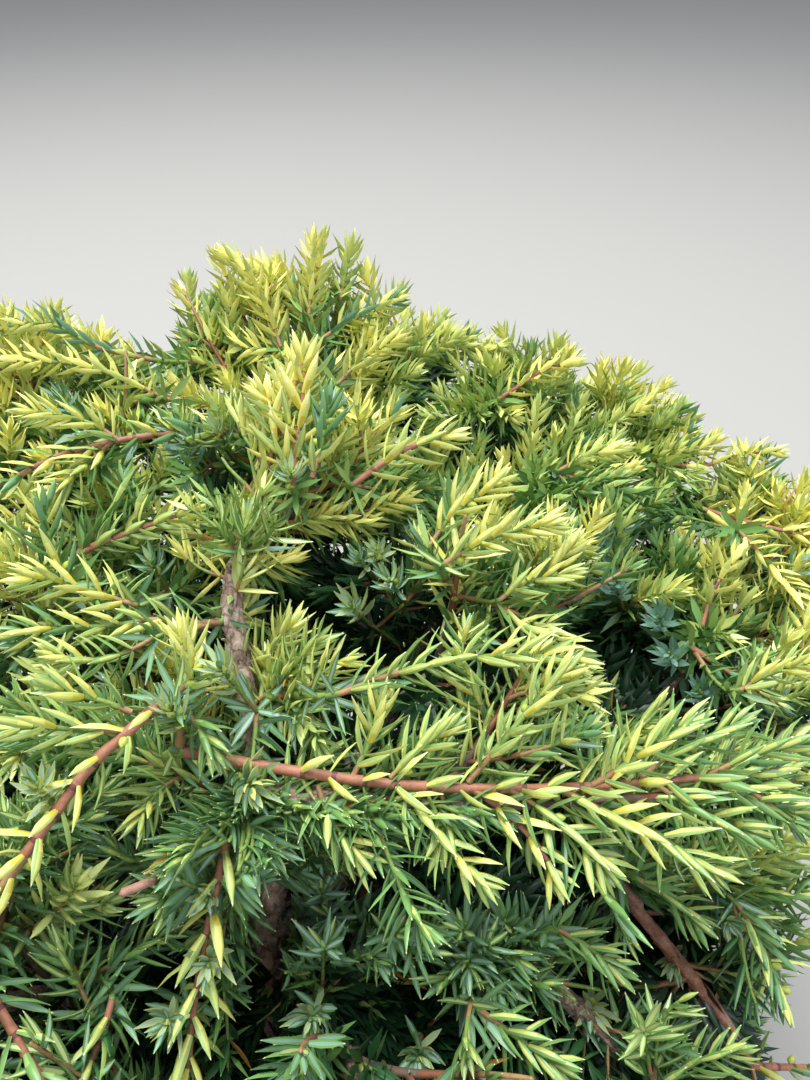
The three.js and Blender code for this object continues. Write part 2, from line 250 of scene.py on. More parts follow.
# Centre of each mass and the tips of its longest shoots.
MASSES = {
    "mass_near_leader": ((52, -12, 259), [(128, -5, 261), (84, -42, 246), (66, 18, 274), (-22, -2, 262)]),
    "mass_mid_tuft": ((4, 82, 262), [(11, 80, 317), (-24, 66, 300), (34, 84, 298)]),
    "mass_centre": ((46, 40, 246), [(50, 40, 296), (16, 20, 280), (96, 54, 268)]),
    "mass_back_tuft": ((-2, 156, 244), [(-42, 168, 298), (-32, 186, 303), (6, 184, 310), (34, 180, 292), (-4, 206, 254)]),
    "mass_left_back": ((-84, 118, 242), [(-94, 140, 301), (-166, 174, 268), (-50, 122, 297), (-100, 198, 246)]),
    "mass_left": ((-104, 32, 236), [(-194, 46, 256), (-120, 66, 286), (-56, 44, 292), (-182, -2, 242)]),
    "mass_left_near": ((-80, -45, 220), [(-156, -88, 234), (-48, -24, 264), (-114, -14, 262), (-118, -112, 218)]),
    "mass_right_back": ((88, 142, 226), [(50, 184, 281), (84, 180, 270), (130, 186, 257), (84, 204, 230)]),
    "mass_far_right": ((154, 110, 218), [(197, 118, 240), (168, 141, 246), (190, 84, 216)]),
    "mass_right": ((110, 50, 212), [(100, 66, 252), (176, 44, 222), (142, 74, 238)]),
    "mass_right_near": ((90, -40, 198), [(120, -24, 220), (134, -62, 196), (100, -36, 230)]),
    "mass_near": ((32, -68, 202), [(48, -122, 198), (60, -54, 234), (16, -50, 236)]),
    "mass_near_left": ((-32, -84, 202), [(-62, -154, 196), (-32, -52, 246), (-8, -140, 194)]),
    "mass_near_right": ((84, -104, 184), [(122, -138, 176), (90, -150, 180)]),
    "mass_low_left": ((-86, 6, 188), [(-166, 2, 182), (-120, 66, 192)]),
    "mass_low_back": ((-20, 100, 196), [(-56, 170, 194), (34, 176, 200)]),
    "mass_low_right": ((82, 38, 179), [(152, 58, 176), (104, 112, 188)]),
    "mass_low_near": ((-2, -88, 172), [(-66, -114, 170), (26, -136, 166)]),
}
MASS_NAMES = list(MASSES)


def on_trunk(z):
    t = (z - TRUNK_FOOT[2]) / (TRUNK_TOP[2] - TRUNK_FOOT[2])
    return TRUNK_FOOT + (TRUNK_TOP - TRUNK_FOOT) * t


def smooth_curve(points, n=240):
    """A centripetal curve through the points, at even steps of its length."""
    pts = [np.asarray(p, float) for p in points]
    out = []
    last = len(pts) - 1
    for i in range(last):
        p0 = pts[i - 1] if i > 0 else 2 * pts[0] - pts[1]
        p1, p2 = pts[i], pts[i + 1]
        p3 = pts[i + 2] if i + 2 <= last else 2 * pts[last] - pts[last - 1]
        d0, d1, d2 = (max(np.linalg.norm(b - a) ** 0.5, 1e-4) for a, b in ((p0, p1), (p1, p2), (p2, p3)))
        m1 = ((p1 - p0) / d0 - (p2 - p0) / (d0 + d1) + (p2 - p1) / d1) * d1
        m2 = ((p2 - p1) / d1 - (p3 - p1) / (d1 + d2) + (p3 - p2) / d2) * d1
        w = np.linspace(0, 1, 60)[:, None]
        w = w if i == last - 1 else w[:-1]
        out.append(p1 + m1 * w + (-3 * p1 + 3 * p2 - 2 * m1 - m2) * w**2 + (2 * p1 - 2 * p2 + m1 + m2) * w**3)
    p = np.concatenate(out)
    return resample(p, n)


def resample(p, n):
    s = np.r_[0, np.cumsum(np.linalg.norm(np.diff(p, axis=0), axis=1))]
    t = np.linspace(0, s[-1], n)
    return np.stack([np.interp(t, s, p[:, k]) for k in range(3)], 1)


def unit(v):
    v = np.asarray(v, float)
    return v / np.maximum(np.linalg.norm(v, axis=-1, keepdims=True), 1e-9)


def tangents(p):
    return unit(np.gradient(p, axis=0))


def frames(p, t=None):
    """Tangents and two cross axes that turn as little as they can along a path."""
    t = tangents(p) if t is None else t
    u = np.empty_like(p)
    a = np.cross(t[0], UP) if abs(t[0][2]) < 0.9 else np.cross(t[0], [1.0, 0, 0])
    u[0] = unit(a)
    for i in range(1, len(p)):
        v = u[i - 1] - t[i] * (u[i - 1] @ t[i])
        u[i] = unit(v)
    return t, u, np.cross(t, u)


# ---------------------------------------------------------------- the crown as a field
bvh, mass_mesh = {}, {}
for name in MASS_NAMES:
    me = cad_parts[name].data
    co = np.empty(len(me.vertices) * 3)
    me.vertices.foreach_get("co", co)
    co = co.reshape(-1, 3) * 1000
    me.calc_loop_triangles()
    tri = np.empty(len(me.loop_triangles) * 3, dtype=np.int64)
    me.loop_triangles.foreach_get("vertices", tri)
    tri = tri.reshape(-1, 3)
    mass_mesh[name] = (co, tri)
    bvh[name] = BVHTree.FromPolygons([tuple(c) for c in co], [tuple(map(int, f)) for f in tri], all_triangles=True)

VOX = 3.0
LOW = np.array([-216.0, -180, 132])
SHAPE = (146, 138, 68)
filled = np.zeros(SHAPE, bool)
owner = np.full(SHAPE, -1, np.int8)
for mi, name in enumerate(MASS_NAMES):
    co, tri = mass_mesh[name]
    a = np.floor((co.min(0) - LOW) / VOX).astype(int)
    b = np.ceil((co.max(0) - LOW) / VOX).astype(int)
    for ix in range(a[0], b[0] + 1):
        for iy in range(a[1], b[1] + 1):
            x, y, z = LOW[0] + (ix + 0.5) * VOX, LOW[1] + (iy + 0.5) * VOX, LOW[2] - 5
            hits = []
            while len(hits) < 12:
                loc, _, _, _ = bvh[name].ray_cast((x, y, z), (0, 0, 1))
                if loc is None:
                    break
                hits.append(loc.z)
                z = loc.z + 0.02
            for k in range(0, len(hits) - 1, 2):
                i0 = int(round((hits[k] - LOW[2]) / VOX))
                i1 = int(round((hits[k + 1] - LOW[2]) / VOX))
                filled[ix, iy, i0:i1] = True
                owner[ix, iy, i0:i1] = mi


def shifted(a, dx, dy, dz, fill):
    out = np.full_like(a, fill)
    src, dst = [], []
    for d, n in zip((dx, dy, dz), a.shape):
        src.append(slice(max(0, -d), n - max(0, d)))
        dst.append(slice(max(0, d), n - max(0, -d)))
    out[tuple(dst)] = a[tuple(src)]
    return out


STEPS = [(i, j, k) for i in (-1, 0, 1) for j in (-1, 0, 1) for k in (-1, 0, 1) if (i, j, k) != (0, 0, 0)]
grown = filled.copy()
for s in STEPS:
    grown |= shifted(filled, *s, False)
closed = grown.copy()
for s in STEPS:
    closed &= shifted(grown, *s, True)
filled |= closed


def distance(inside, reach=16):
    d = np.where(inside, np.float32(999), np.float32(0))
    for _ in range(reach):
        new = d.copy()
        for s in STEPS:
            np.minimum(new, shifted(d, *s, 0) + np.float32(VOX * math.sqrt(sum(x * x for x in s))), out=new)
        if np.array_equal(new, d):
            break
        d = new
    return d


depth_in = distance(filled) - distance(~filled, 8)
# How much foliage lies above and beside each place, for light and shade; the needles' colours below take painted light
# and shade from it.
shade = np.zeros(SHAPE, np.float32)
for dx, dy, w in ((0, 0, 0.4), (1, 0, 0.15), (-1, 0, 0.15), (0, 1, 0.15), (0, -1, 0.15)):
    thick = np.zeros(SHAPE, np.float32)
    step = VOX * math.sqrt(1 + dx * dx + dy * dy)
    for k in range(SHAPE[2] - 2, -1, -1):
        above = thick[:, :, k + 1] + filled[:, :, k + 1] * step
        thick[:, :, k] = np.roll(above, (-dx, -dy), (0, 1))
    shade += w * np.exp(-thick / 16.0)


def field(grid, p):
    q = (np.asarray(p, float) - LOW) / VOX - 0.5
    q = np.clip(q, 0, np.array(SHAPE) - 1.001)
    i = q.astype(int)
    f = q - i
    out = 0
    for c in range(8):
        o = np.array([c & 1, (c >> 1) & 1, (c >> 2) & 1])
        w = np.prod(np.where(o, f, 1 - f), axis=-1)
        j = i + o
        out = out + w * grid[j[..., 0], j[..., 1], j[..., 2]]
    return out


def mass_at(p):
    q = np.clip(((np.asarray(p, float) - LOW) / VOX).astype(int), 0, np.array(SHAPE) - 1)
    m = owner[q[..., 0], q[..., 1], q[..., 2]]
    if np.ndim(m) == 0 and m < 0:
        return min(range(len(MASS_NAMES)), key=lambda k: np.linalg.norm(np.array(MASSES[MASS_NAMES[k]][0]) - p))
    return m


# ---------------------------------------------------------------- sight lines
# Places where bark or a dark hollow shows between the sprays: a line in the image, its half
# width in pixels, and how far away what shows there is. Nothing leafy grows in front of it.
WINDOWS = [
    ([(274, 880), (270, 940), (266, 1040)], 8, 232),
    ([(254, 696), (246, 640), (238, 600)], 6, 186),
    ([(440, 606), (470, 640), (516, 694)], 5, 186),
    ([(632, 904), (676, 958), (716, 1008)], 9, 206),
    ([(598, 610), (626, 668), (640, 690)], 20, 252),
    ([(800, 990), (808, 1060)], 14, 300),
    ([(740, 618), (768, 638)], 8, 262),
]
# The shoots that the photograph shows one by one. Each row has the places along it (pixel u, v and
# depth), the tone at its foot and at its tip (or -1 for sea green and -2 for frosted needles), its
# radii, the spacing of its whorls, the fraction from which it is needled, its bark, and how long
# its needles are against a full one.
HEROES = [
    # the long near leader and what it carries
    ([(185, 752, 172), (300, 772, 170), (405, 785, 168), (550, 788, 169), (690, 778, 171), (780, 771, 173)],
     0.90, 0.90, 1.3, 0.7, 7.0, 0.16, "pink", 1.0),
    ([(339, 694, 176), (402, 672, 176), (459, 659, 177), (540, 656, 178), (586, 660, 179)], 0.62, 0.88, 0.75, 0.42, 4.6, 0.02, "tan", 1.05),
    ([(468, 782, 168), (489, 757, 168), (514, 728, 169), (545, 690, 171), (568, 668, 173)], 0.72, 0.86, 0.7, 0.42, 4.4, 0.08, "green", 1.1),
    ([(472, 789, 168), (496, 805, 167), (520, 826, 167), (545, 856, 166), (556, 880, 166)], 0.85, 0.97, 0.7, 0.42, 4.4, 0.08, "pink", 1.08),
    ([(560, 790, 169), (581, 800, 168), (629, 822, 168), (657, 833, 168), (690, 856, 168), (715, 870, 168)],
     0.85, 0.98, 0.75, 0.42, 4.6, 0.06, "tan", 1.08),
    ([(395, 787, 168), (422, 813, 167), (448, 846, 166), (470, 868, 166), (484, 885, 166)], 0.80, 0.90, 0.65, 0.4, 4.4, 0.08, "tan", 1.05),
    ([(318, 785, 169), (328, 815, 168), (345, 838, 168), (362, 858, 168)], 0.60, 0.84, 0.6, 0.4, 4.2, 0.08, "green", 1.05),
    ([(352, 778, 169), (362, 758, 170), (372, 735, 171), (380, 700, 173)], 0.72, 0.88, 0.6, 0.4, 4.2, 0.1, "green", 1.1),
    ([(390, 778, 168), (418, 751, 170), (450, 728, 172)], 0.66, 0.80, 0.6, 0.4, 4.2, 0.1, "green", 1.05),
    ([(592, 785, 169), (624, 766, 170), (657, 742, 172), (690, 722, 174)], 0.74, 0.86, 0.65, 0.42, 4.4, 0.08, "green", 1.1),
    ([(640, 779, 170), (672, 752, 172), (706, 738, 174), (742, 722, 176)], 0.62, 0.78, 0.6, 0.4, 4.4, 0.1, "green", 1.05),
    ([(705, 776, 171), (751, 756, 172), (800, 742, 174)], 0.70, 0.84, 0.6, 0.4, 4.4, 0.08, "green", 1.05),
    ([(655, 784, 170), (690, 806, 170), (725, 822, 170), (755, 836, 170)], 0.60, 0.76, 0.6, 0.4, 4.4, 0.08, "green", 1.05),
    ([(700, 776, 171), (742, 794, 171), (779, 808, 172), (806, 818, 173)], 0.60, 0.74, 0.6, 0.4, 4.4, 0.08, "green", 1.05),
    ([(510, 790, 168), (528, 800, 168), (560, 824, 168), (590, 850, 168), (606, 872, 168)], 0.60, 0.82, 0.6, 0.4, 4.4, 0.1, "green", 1.0),
    ([(440, 790, 169), (446, 815, 169), (440, 850, 169)], 0.5, 0.75, 0.55, 0.4, 4.4, 0.12, "green", 1.0),
    # the middle
    ([(293, 485, 200), (297, 441, 202), (303, 398, 203), (304, 355, 205)], 1.0, 1.0, 0.8, 0.42, 4.6, 0.05, "pink", 1.12),
    ([(288, 472, 200), (272, 432, 202), (266, 398, 204)], 0.95, 1.0, 0.7, 0.42, 4.6, 0.08, "green", 1.1),
    ([(312, 478, 199), (322, 440, 201), (330, 402, 203)], 0.90, 1.0, 0.7, 0.42, 4.6, 0.08, "green", 1.1),
    ([(300, 440, 202), (280, 412, 202), (258, 392, 203)], 0.95, 1.0, 0.6, 0.42, 4.6, 0.08, "green", 1.05),
    ([(354, 484, 206), (385, 462, 207), (420, 443, 208), (452, 436, 209)], 0.86, 0.96, 0.85, 0.45, 5.0, 0.05, "pink", 1.05),
    ([(445, 563, 192), (470, 548, 193), (505, 533, 195), (550, 525, 197)], 0.70, 1.0, 0.7, 0.42, 4.4, 0.05, "green", 1.1),
    ([(430, 545, 196), (452, 515, 198), (480, 495, 200), (500, 478, 202)], 0.70, 0.95, 0.6, 0.4, 4.4, 0.08, "green", 1.05),
    ([(543, 582, 200), (560, 560, 202), (572, 545, 204)], 0.70, 0.88, 0.6, 0.4, 4.2, 0.1, "green", 1.0),
    ([(500, 600, 196), (520, 585, 197), (548, 577, 199), (570, 574, 200)], 0.60, 0.80, 0.6, 0.4, 4.4, 0.1, "green", 1.0),
    # the back tuft
    ([(281, 347, 275), (265, 304, 277), (245, 271, 279), (225, 255, 281)], 0.80, 0.97, 0.8, 0.42, 4.6, 0.05, "tan", 1.05),
    ([(309, 314, 284), (311, 278, 286), (314, 240, 288)], 0.65, 0.88, 0.7, 0.42, 4.4, 0.08, "green", 1.0),
    ([(340, 300, 288), (352, 245, 290)], 0.45, 0.60, 0.6, 0.4, 4.0, 0.1, "green", 1.0),
    ([(324, 337, 280), (357, 316, 281), (398, 299, 283)], 0.80, 0.95, 0.7, 0.42, 4.4, 0.08, "green", 1.0),
    ([(339, 383, 268), (367, 355, 270), (398, 340, 272)], 0.85, 0.97, 0.7, 0.42, 4.4, 0.05, "green", 1.05),
    ([(190, 345, 288), (188, 280, 292)], 0.45, 0.60, 0.6, 0.4, 4.0, 0.1, "green", 1.0),
    ([(215, 350, 288), (207, 300, 290)], 0.40, 0.52, 0.6, 0.4, 4.0, 0.1, "green", 1.0),
    # the far left
    ([(153, 360, 265), (97, 347, 263), (51, 324, 262), (0, 327, 260)], 0.75, 0.92, 0.9, 0.45, 5.0, 0.05, "tan", 1.0),
    ([(170, 400, 250), (125, 380, 252), (80, 365, 255), (0, 360, 255)], 0.65, 0.82, 0.8, 0.45, 5.0, 0.05, "green", 1.0),
    ([(219, 431, 222), (163, 434, 222), (102, 444, 220), (51, 459, 218), (0, 487, 214)], 0.80, 0.95, 1.05, 0.7, 5.6, 0.0, "pink", 1.0),
    ([(120, 441, 220), (95, 425, 219), (60, 415, 218), (25, 412, 217)], 0.75, 0.90, 0.6, 0.42, 4.4, 0.08, "green", 1.0),
    ([(110, 444, 220), (80, 470, 217), (50, 492, 214)], 0.80, 0.92, 0.6, 0.42, 4.4, 0.08, "green", 1.0),
    # the left
    ([(86, 551, 205), (107, 541, 205), (141, 528, 206), (195, 510, 207)], 0.65, 0.85, 0.75, 0.42, 4.6, 0.02, "pink", 1.0),
    ([(68, 582, 193), (54, 555, 193), (48, 532, 194), (43, 503, 195)], 0.88, 1.0, 0.65, 0.42, 4.2, 0.05, "green", 1.0),
    ([(136, 605, 190), (100, 594, 190), (71, 585, 189), (45, 578, 188), (25, 580, 188)], 0.88, 1.0, 0.7, 0.42, 4.4, 0.05, "green", 1.05),
    ([(220, 622, 193), (196, 623, 192), (160, 620, 190), (100, 627, 188), (50, 628, 186), (15, 634, 184)], 0.55, 1.0, 0.95, 0.45, 5.0, 0.12, "tan", 1.0),
    ([(150, 640, 182), (120, 655, 180), (85, 660, 179), (50, 655, 178)], 0.60, 0.85, 0.6, 0.4, 4.4, 0.08, "green", 1.0),
    # the near left
    ([(170, 700, 163), (148, 714, 160), (125, 735, 158), (96, 760, 156), (50, 820, 152), (0, 890, 149)], 0.85, 0.97, 1.12, 1.0, 6.6, 0.05, "pink", 1.02),
    ([(132, 712, 161), (100, 700, 160), (75, 694, 159), (50, 682, 158)], 0.65, 0.85, 0.7, 0.42, 4.4, 0.08, "green", 1.0),
    ([(125, 730, 158), (82, 730, 157), (36, 726, 155), (5, 730, 154)], 0.65, 0.80, 0.7, 0.42, 4.4, 0.08, "green", 1.0),
    ([(179, 692, 168), (193, 676, 167), (189, 659, 168), (179, 632, 170)], 0.85, 1.0, 0.65, 0.42, 4.0, 0.08, "green", 1.05),
    ([(187, 712, 168), (205, 735, 168), (215, 755, 168)], 0.45, 0.60, 0.6, 0.4, 4.0, 0.1, "green", 1.0),
    ([(226, 842, 171), (218, 880, 171), (206, 935, 170), (195, 1000, 170), (188, 1070, 170)], 0.80, 0.97, 0.9, 0.6, 6.4, 0.0, "pink", 1.05),
    ([(112, 1000, 168), (100, 1040, 164), (82, 1076, 161)], 0.70, 0.90, 0.8, 0.55, 5.6, 0.1, "pink", 1.05),
    ([(-6, 1000, 151), (16, 1036, 150), (33, 1066, 149), (50, 1092, 148)], 0.35, 0.50, 0.95, 0.8, 7.0, 0.0, "pink", 1.0),
    # the right
    ([(661, 463, 300), (702, 466, 298), (740, 455, 296), (778, 452, 294)], 0.80, 0.97, 0.9, 0.45, 5.0, 0.1, "pink", 1.0),
    ([(705, 510, 286), (736, 519, 283), (772, 528, 279), (812, 537, 275)], 0.80, 0.95, 1.1, 0.7, 5.6, 0.0, "pink", 1.0),
    ([(741, 533, 262), (762, 556, 258), (785, 580, 255), (800, 602, 252)], 0.85, 0.95, 0.7, 0.42, 4.4, 0.05, "tan", 1.0),
    ([(703, 625, 240), (710, 600, 241), (722, 575, 243), (737, 553, 245)], 0.70, 0.90, 0.7, 0.42, 4.6, 0.1, "pink", 1.0),
    ([(692, 648, 232), (715, 663, 230), (745, 682, 228), (780, 704, 226)], 0.40, 0.60, 0.9, 0.55, 5.4, 0.1, "pink", 1.0),
    ([(740, 690, 215), (765, 676, 215), (790, 668, 214), (816, 660, 213)], 0.70, 0.92, 0.7, 0.42, 4.4, 0.05, "green", 1.0),
    ([(500, 398, 290), (522, 384, 291), (544, 370, 292), (575, 362, 293)], 0.75, 0.90, 0.8, 0.42, 4.8, 0.1, "pink", 1.0),
    ([(560, 470, 262), (590, 455, 264), (622, 450, 266)], 0.60, 0.80, 0.7, 0.42, 4.4, 0.08, "green", 1.0),
    # the lower right
    ([(738, 905, 192), (757, 935, 190), (770, 965, 189), (784, 1002, 188)], -1, -1.4, 0.6, 0.42, 2.9, 0.02, "green", 1.0),
    ([(752, 1066, 200), (778, 1067, 202), (816, 1068, 204)], 0.75, 0.85, 0.9, 0.7, 6.0, 0.05, "pink", 0.9),
    ([(655, 1088, 178), (690, 1064, 178), (738, 1050, 179)], 0.75, 0.92, 0.7, 0.42, 4.2, 0.05, "green", 1.0),
    ([(560, 930, 178), (590, 948, 178), (618, 972, 178)], 0.40, 0.55, 0.6, 0.4, 4.0, 0.05, "green", 1.0),
    ([(480, 1010, 170), (520, 1040, 170), (560, 1070, 170)], 0.45, 0.62, 0.6, 0.4, 4.0, 0.05, "green", 1.0),
    ([(640, 880, 182), (672, 900, 182), (700, 925, 182)], 0.40, 0.62, 0.6, 0.4, 4.0, 0.05, "green", 1.0),
]
# Shoots seen end on: where their tip shows, its depth, where their foot lies from it, tone, needles.
# Where the far side of the crown closes what would be a view through it: place in the picture, tone. A tone of 0 makes
# the darkest green sprays, painted shade in the crown's depths.
BACKING = [
    (597, 915, 0), (612, 900, 0), (630, 931, 0), (626, 916, 0), (651, 810, 0), (589, 877, 0), (719, 1031, 0), (707, 1032, 0), (684, 1023, 0),
    (675, 1022, 0), (701, 1008, 0), (726, 1004, 0), (689, 956, 0), (759, 958, 0), (653, 525, 0.3), (643, 518, 0.3), (646, 554, 0.2),
    (731, 468, 0.5), (720, 454, 0.5), (707, 458, 0.5), (779, 468, 0.6), (729, 555, 0.3), (716, 557, 0.3), (756, 698, 0.1), (777, 461, 0.6),
    (441, 465, 0), (458, 460, 0), (472, 458, 0.1), (475, 377, 0.5), (238, 613, 0), (198, 373, 0.4), (201, 337, 0.6), (193, 329, 0.6),
    (787, 945, 0.1), (799, 874, 0.2), (804, 946, 0.1), (723, 449, 0.5), (753, 565, 0.3), (674, 413, 0.4), (421, 390, 0.3), (26, 530, 0.4),
]
STARS = [
    (218, 664, 166, (18, 22, 16), -2, 0.95), (166, 705, 160, (16, 18, 15), -2, 0.85), (255, 790, 165, (-14, -18, 22), -2, 1.15),
    (215, 430, 219, (10, 14, 14), -2, 0.85), (190, 438, 218, (10, 12, 14), -1, 0.8), (350, 604, 208, (10, 10, 16), -2, 0.95),
    (389, 578, 206, (8, 12, 16), -1, 0.9), (357, 557, 207, (8, 10, 14), -1, 0.75), (375, 548, 208, (6, 10, 14), -2, 0.7),
    (615, 583, 236, (4, 12, 18), -1, 1.05), (658, 616, 234, (6, 12, 18), -1, 1.05), (669, 652, 230, (6, 10, 18), -1, 1.0),
    (700, 690, 226, (4, 10, 18), -1, 0.9), (37, 783, 150, (10, 14, 16), -2, 0.9), (206, 900, 167, (6, -8, 14), -2, 0.75),
    (208, 966, 166, (2, -12, 16), -2, 0.95), (165, 1024, 164, (10, -10, 16), -2, 0.9), (310, 1020, 176, (6, -12, 18), -1, 1.0),
    (418, 1060, 174, (2, -12, 18), -1, 0.9), (590, 1015, 186, (2, -12, 18), -2, 0.95),
    (674, 967, 204, (0, -12, 14), -2, 0.85), 
    (60, 395, 222, (10, 14, 14), -1, 0.8), (290, 470, 196, (2, 14, 14), -2, 0.85), (730, 925, 190, (-8, -12, 14), -1, 0.8), (150, 560, 205, (8, 14, 14), -1, 0.85),
]
for u_, v_, d_, foot, tone_, long_ in STARS:
    a_, b_ = 2.1 * foot[0], 2.1 * foot[1]
    HEROES.append(([(u_ + a_, v_ + b_, d_ + foot[2]), (u_ + a_ * 0.45, v_ + b_ * 0.45, d_ + foot[2] * 0.4), (u_, v_, d_)],
                   tone_, tone_, 0.55, 0.45, 2.9, 0.48, "star", long_))
# Sprays that close what would be a hole, as pixel, depth and tone. Low tones make dark green sprays where the crown's
# hollows are dark, painted shade; tone 0 gives the darkest green.
FILL = [
    (345, 975, 196, 0.35), (365, 990, 198, 0.3), (385, 975, 200, 0.35), (330, 985, 194, 0.35), (400, 1000, 198, 0.35), (375, 1010, 196, 0.4),
    (235, 985, 205, 0.25), (300, 985, 205, 0.25), (420, 960, 198, 0.4), (440, 985, 198, 0.4), (310, 960, 203, 0.3), (230, 1030, 200, 0.3),
    (405, 330, 298, 0.60), (425, 322, 302, 0.70), (445, 330, 305, 0.70), (470, 335, 305, 0.70), (430, 352, 298, 0.50),
    (455, 362, 300, 0.55), (415, 372, 288, 0.50), (440, 392, 290, 0.45), (425, 415, 282, 0.50), (455, 420, 285, 0.50),
    (405, 345, 300, 0.50), (480, 360, 305, 0.60), (500, 350, 308, 0.70), (395, 400, 282, 0.45), (410, 445, 270, 0.4),
    (600, 620, 264, 0.0), (615, 640, 262, 0.0), (630, 662, 259, 0.0), (642, 690, 256, 0.0), (590, 648, 264, 0.0),
    (652, 640, 268, 0.0), (608, 690, 258, 0.0), (625, 608, 270, 0.0), (585, 615, 266, 0.1), (655, 665, 262, 0.0),
    (620, 715, 250, 0.05), (600, 600, 272, 0.05), (640, 620, 272, 0.05), (618, 665, 270, 0.0), (604, 640, 276, 0.0),
    (760, 838, 196, 0.60), (790, 856, 200, 0.50), (772, 892, 200, 0.40), (802, 892, 204, 0.40), (748, 925, 196, 0.35),
    (790, 925, 206, 0.30), (808, 850, 204, 0.60), (735, 870, 194, 0.40), (765, 915, 200, 0.30), (806, 940, 210, 0.30),
    (690, 430, 300, 0.70), (700, 442, 300, 0.70), (680, 448, 298, 0.60), (715, 440, 297, 0.75), (660, 425, 306, 0.65), (700, 470, 290, 0.60),
    (675, 470, 292, 0.50), (650, 400, 316, 0.70), (630, 385, 320, 0.75), (672, 405, 312, 0.75), (690, 418, 306, 0.75), (600, 372, 318, 0.70),
    (560, 358, 316, 0.70), (530, 350, 312, 0.70), (745, 450, 290, 0.75), (660, 490, 280, 0.4), (640, 450, 296, 0.5),
    (822, 890, 208, 0.40), (755, 885, 196, 0.40), (790, 838, 196, 0.60), (720, 890, 200, 0.35), (660, 860, 190, 0.45),
    (690, 880, 190, 0.40), (650, 890, 196, 0.30), (710, 850, 186, 0.50), (680, 910, 200, 0.25), (700, 940, 205, 0.2), (740, 960, 215, 0.2),
    (260, 850, 185, 0.35), (240, 836, 182, 0.40), (285, 840, 184, 0.40), (302, 872, 186, 0.35), (225, 872, 180, 0.35), (312, 850, 186, 0.40),
    (270, 816, 182, 0.40), (250, 808, 178, 0.40), (292, 808, 182, 0.40), (232, 905, 198, 0.30), (302, 905, 200, 0.30), (232, 945, 198, 0.30),
    (300, 945, 198, 0.30), (228, 985, 196, 0.30), (298, 985, 195, 0.30), (312, 965, 190, 0.30), (322, 890, 190, 0.35), (236, 1030, 194, 0.25),
    (292, 1030, 192, 0.25), (320, 1010, 188, 0.30), (340, 860, 182, 0.40), (215, 925, 188, 0.35), (330, 925, 190, 0.3), (310, 825, 184, 0.4),
    (460, 930, 175, 0.35), (490, 945, 175, 0.35), (520, 960, 177, 0.35), (545, 985, 178, 0.35), (430, 950, 175, 0.35), (575, 1000, 180, 0.35),
    (505, 920, 178, 0.30), (540, 940, 180, 0.30), (470, 970, 174, 0.35), (440, 985, 174, 0.35), (600, 990, 184, 0.30), (500, 990, 176, 0.35),
    (400, 935, 178, 0.35), (380, 965, 178, 0.30), (120, 725, 176, 0.35), (105, 705, 178, 0.35), (135, 745, 178, 0.35), (60, 600, 200, 0.4),
    (40, 610, 198, 0.4), (110, 620, 200, 0.35), (20, 640, 190, 0.4), (15, 700, 178, 0.35), (60, 745, 172, 0.35), (20, 740, 168, 0.35),
    (175, 868, 156, 0.35), (190, 857, 158, 0.35), (203, 846, 162, 0.35), (182, 880, 160, 0.30), (168, 856, 158, 0.35), (160, 900, 160, 0.3),
    (262, 790, 168, 0.35), (282, 806, 168, 0.35), (304, 812, 168, 0.35), (326, 812, 167, 0.35), (348, 813, 167, 0.35), (370, 813, 167, 0.35),
    (392, 814, 166, 0.35), (414, 814, 166, 0.35), (436, 813, 165, 0.35), (458, 812, 165, 0.35), (480, 812, 165, 0.35), (502, 812, 166, 0.35),
    (250, 772, 168, 0.35), (270, 822, 174, 0.3), (240, 790, 172, 0.35),
    (125, 480, 214, 0.30), (140, 500, 212, 0.30), (110, 465, 219, 0.30), (430, 487, 216, 0.30), (450, 492, 220, 0.30), (470, 482, 226, 0.30),
    (415, 475, 216, 0.30), (665, 520, 270, 0.25), (655, 540, 266, 0.25), (676, 546, 262, 0.25), (690, 560, 258, 0.25), (650, 570, 262, 0.20),
    (600, 615, 280, 0), (625, 640, 285, 0), (650, 660, 280, 0), (610, 670, 282, 0), (640, 620, 285, 0), (595, 640, 285, 0), (630, 690, 275, 0),
    (600, 690, 272, 0), (655, 690, 270, 0), (615, 600, 290, 0), (660, 640, 285, 0), (580, 660, 280, 0), (620, 655, 262, 0), (636, 676, 262, 0),
    (670, 700, 262, 0), (645, 710, 258, 0), (610, 710, 262, 0), (575, 630, 275, 0), (330, 600, 232, 0), (345, 625, 230, 0), (320, 560, 236, 0),
    (175, 410, 226, 0.30), (185, 430, 222, 0.30), (180, 450, 218, 0.30), (190, 465, 214, 0.30), (165, 420, 224, 0.30),
    (540, 480, 252, 0.35), (560, 500, 246, 0.35), (585, 490, 250, 0.35), (610, 500, 250, 0.35), (630, 520, 248, 0.35), (600, 530, 244, 0.30),
    (570, 525, 242, 0.30), (640, 490, 256, 0.35), (545, 465, 258, 0.40), (615, 475, 258, 0.35), (530, 510, 244, 0.3), (660, 500, 262, 0.3),
     (214, 520, 192, 0.45), (246, 520, 191, 0.50), (232, 492, 195, 0.50), (204, 485, 200, 0.55),
    (262, 488, 196, 0.60), (222, 458, 203, 0.60), (248, 450, 203, 0.70), (196, 440, 208, 0.50), (276, 515, 190, 0.60),
    (186, 505, 200, 0.55), (240, 415, 212, 0.60), (262, 430, 206, 0.70), (214, 400, 225, 0.60), (178, 420, 222, 0.60),
    (60, 800, 165, 0.40), (90, 820, 168, 0.35), (50, 840, 165, 0.30), (75, 860, 168, 0.30), (30, 820, 160, 0.40), (100, 790, 170, 0.40),
    (20, 860, 160, 0.35), (110, 850, 170, 0.30), (60, 880, 168, 0.30),
]
SIGHT = []        # u, v, depth at both ends, half width, how much closer, whether a shoot's


def sight_line(points, half, closer, own):
    for a, b in zip(points[:-1], points[1:]):
        SIGHT.append((*a, *b, half, closer, own))


